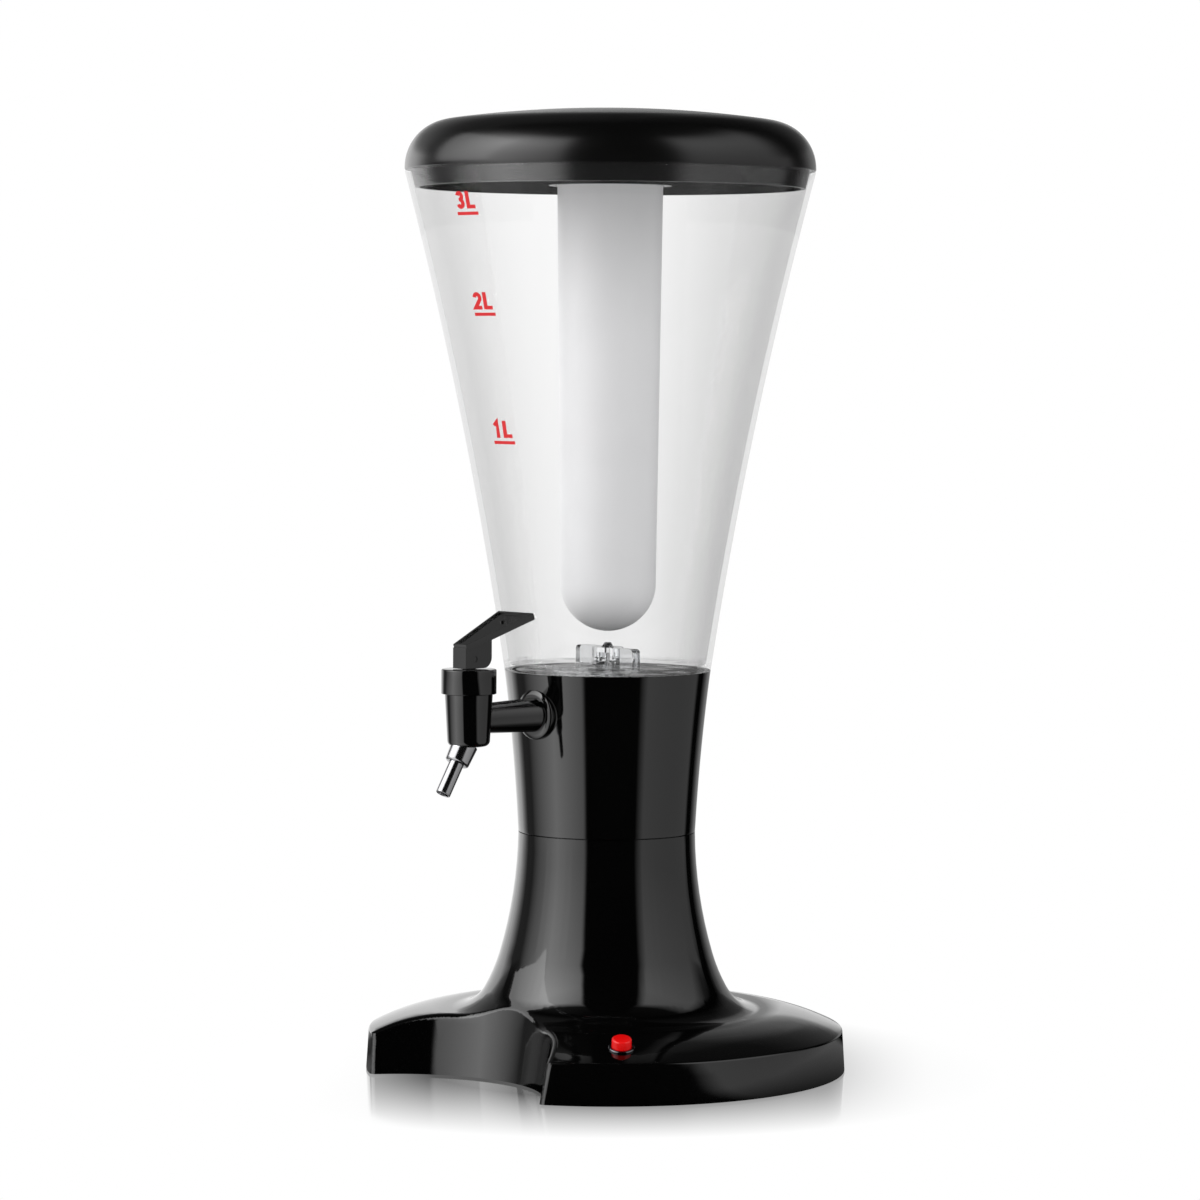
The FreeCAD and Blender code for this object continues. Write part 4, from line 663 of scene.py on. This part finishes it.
# what gloss shows round the object: soft boxes, from and to in degrees to the right of the camera, with the
# width of the soft edge and the brightness at each side
softBoxes = {
    "leftFill": {"from": -126, "to": -30, "soft": (6, 30), "level": (0.12, 0.12)},
    "key": {"from": -108, "to": -25, "soft": (42, 4), "level": (1.7, 0.95)},
    "fill": {"from": 36, "to": 124, "soft": (10, 6), "level": (0.6, 0.32)},
    "rearFill": {"from": 134, "to": 184, "soft": (17, 4), "level": (0.36, 0.45)},
    "rearEdge": {"from": 167, "to": 177, "soft": (4, 0.6), "level": (0.55, 0.55)},
    "rear": {"from": 178, "to": 239, "soft": (6, 17), "level": (1.1, 1.35)}}
brightest = 3.0


def cornersOf(box):
    # where a box begins, is full, starts to fade and ends, with its brightness there
    start, end = box["from"], box["to"]
    return [(start, 0), (start + box["soft"][0], box["level"][0]), (end - box["soft"][1], box["level"][1]),
            (end, 0)]


def levelAt(box, degrees):
    corners = cornersOf(box)
    for (start, low), (end, high) in zip(corners, corners[1:]):
        if start <= degrees <= end:
            return low + (high - low) * (degrees - start) / (end - start)
    return 0


def surroundStops():
    # the boxes' sum at each of their corners, once round from behind to behind
    places = {-180, 180}
    for box in softBoxes.values():
        places.update((degrees + 180) % 360 - 180 for degrees, level in cornersOf(box))
    return [(degrees, sum(levelAt(box, degrees) + levelAt(box, degrees + 360) for box in softBoxes.values()))
            for degrees in sorted(places)]


def brightnessOf(tree, value, stops):
    # a ramp holds 0 to 1, so its greys are shares of the brightest
    shares = rampOf(tree, value, [(place, level / brightest) for place, level in stops])
    return mathNode(tree, "MULTIPLY", shares, brightest)


def studioGlow(tree, direction):
    # how bright the boxes are along a direction, or at a place on the floor
    angle = mathNode(tree, "ARCTAN2", along(tree, direction, toRight), along(tree, direction, toCamera))
    return brightnessOf(tree, spanOf(tree, angle, -math.pi, math.pi),
                        [((degrees + 180) / 360, level) for degrees, level in surroundStops()])


# the floor mirrors what stands on it close by, and fades to plain white; in gloss it glows like the soft
# boxes round it, with painted shade close round the base; radii in metres
floor = {"half": 30, "roughness": 0.1, "whiteFrom": 0.074, "whiteTo": 0.19, "leastWhite": 0.1,
         "paintedShadeFrom": 0.1, "paintedShadeTo": 0.24}
floorMaterial, floorTree, floorMirror = finish("studioFloor", (1.0, 1.0, 1.0), floor["roughness"],
                                               Metallic=1.0)
floorRay = floorTree.nodes.new("ShaderNodeLightPath").outputs
floorPlace = floorTree.nodes.new("ShaderNodeTexCoord").outputs["Object"]
floorReach = floorTree.nodes.new("ShaderNodeVectorMath")
floorReach.operation = "LENGTH"
wire(floorTree, floorPlace, floorReach.inputs[0])
floorRadius = floorReach.outputs["Value"]
fade = mathNode(floorTree, "MAXIMUM", spanOf(floorTree, floorRadius, floor["whiteFrom"], floor["whiteTo"]),
                floor["leastWhite"])
# painted light and shade: what gloss sees of the floor glows with the soft boxes' brightness, and goes dark
# close round the base
floorPaintedGlow = mathNode(floorTree, "MULTIPLY", studioGlow(floorTree, floorPlace),
                  spanOf(floorTree, floorRadius, floor["paintedShadeFrom"], floor["paintedShadeTo"]))
floorGlow = floorTree.nodes.new("ShaderNodeEmission")
wire(floorTree, blend(floorTree, floorRay["Is Glossy Ray"], 1.0, floorPaintedGlow), floorGlow.inputs["Strength"])
floorTop = mixShaders(floorTree, mathNode(floorTree, "MAXIMUM", fade, floorRay["Is Glossy Ray"]),
                      floorMirror.outputs["BSDF"], floorGlow.outputs["Emission"])
# from below, the camera looks straight through it to the underside
backfacing = floorTree.nodes.new("ShaderNodeNewGeometry").outputs["Backfacing"]
fromBelow = mathNode(floorTree, "MULTIPLY", backfacing, floorRay["Is Camera Ray"])
showShader(floorTree, mixShaders(floorTree, fromBelow, floorTop, straightThrough(floorTree)))

floorShape = bmesh.new()
bmesh.ops.create_grid(floorShape, x_segments=1, y_segments=1, size=floor["half"])
objectFrom("studioFloor", floorShape, floorMaterial)

# how bright the room is by height, in front of the object and behind it
room = {"front": [(0.0, 1.0), (0.3, 1.35), (0.6, 1.9), (0.72, 1.7), (0.84, 0.05), (1.0, 0.0)],
        "behind": [(0.0, 1.0), (0.175, 1.0), (0.21, 0.5), (0.27, 0.28), (0.6, 0.06), (1.0, 0.05)],
        "behindFrom": 0.2, "behindTo": 0.42, "evenShare": 0.5, "evenLevel": 0.62}
world = bpy.data.worlds.new("studio")
bpy.context.scene.world = world
world.use_nodes = True
worldTree = world.node_tree
background = worldTree.nodes["Background"]
worldRay = worldTree.nodes.new("ShaderNodeLightPath").outputs
outlook = worldTree.nodes.new("ShaderNodeTexCoord").outputs["Generated"]
outlookHigh = along(worldTree, outlook, up)
behind = spanOf(worldTree, along(worldTree, outlook, -toCamera), room["behindFrom"], room["behindTo"])
byHeight = blend(worldTree, behind, brightnessOf(worldTree, outlookHigh, room["front"]),
                 brightnessOf(worldTree, outlookHigh, room["behind"]))
glow = mathNode(worldTree, "MULTIPLY", studioGlow(worldTree, outlook), byHeight)
# matt surfaces get a more even light than gloss does, and the camera sees plain white
even = mathNode(worldTree, "MULTIPLY_ADD", glow, room["evenShare"], room["evenLevel"])
lit = blend(worldTree, worldRay["Is Glossy Ray"], even, glow)
seen = mathNode(worldTree, "MAXIMUM", worldRay["Is Camera Ray"], worldRay["Is Transmission Ray"])
wire(worldTree, blend(worldTree, seen, lit, 1.0), background.inputs["Strength"])
background.inputs["Color"].default_value = (1, 1, 1, 1)

# one large lamp to the left of the camera, in degrees, metres and watts
leftBox = {"turn": -90, "distance": 1.5, "height": 1.1, "aimHeight": 0.2, "width": 1.3, "tall": 1.2,
           "power": 6.5}
boxTurn = math.radians(leftBox["turn"])
boxAt = ((toCamera * math.cos(boxTurn) + toRight * math.sin(boxTurn)) * leftBox["distance"]
         + up * leftBox["height"])
boxAim = (up * leftBox["aimHeight"] - boxAt).to_track_quat("-Z", "Y")
lamp = bpy.data.lights.new("leftBox", "AREA")
lamp.shape = "RECTANGLE"
lamp.size = leftBox["width"]
lamp.size_y = leftBox["tall"]
lamp.energy = leftBox["power"]
putInScene("leftBox", lamp).matrix_world = Matrix.Translation(boxAt) @ boxAim.to_matrix().to_4x4()

bpy.context.scene.view_settings.view_transform = "Standard"
print("studio set")
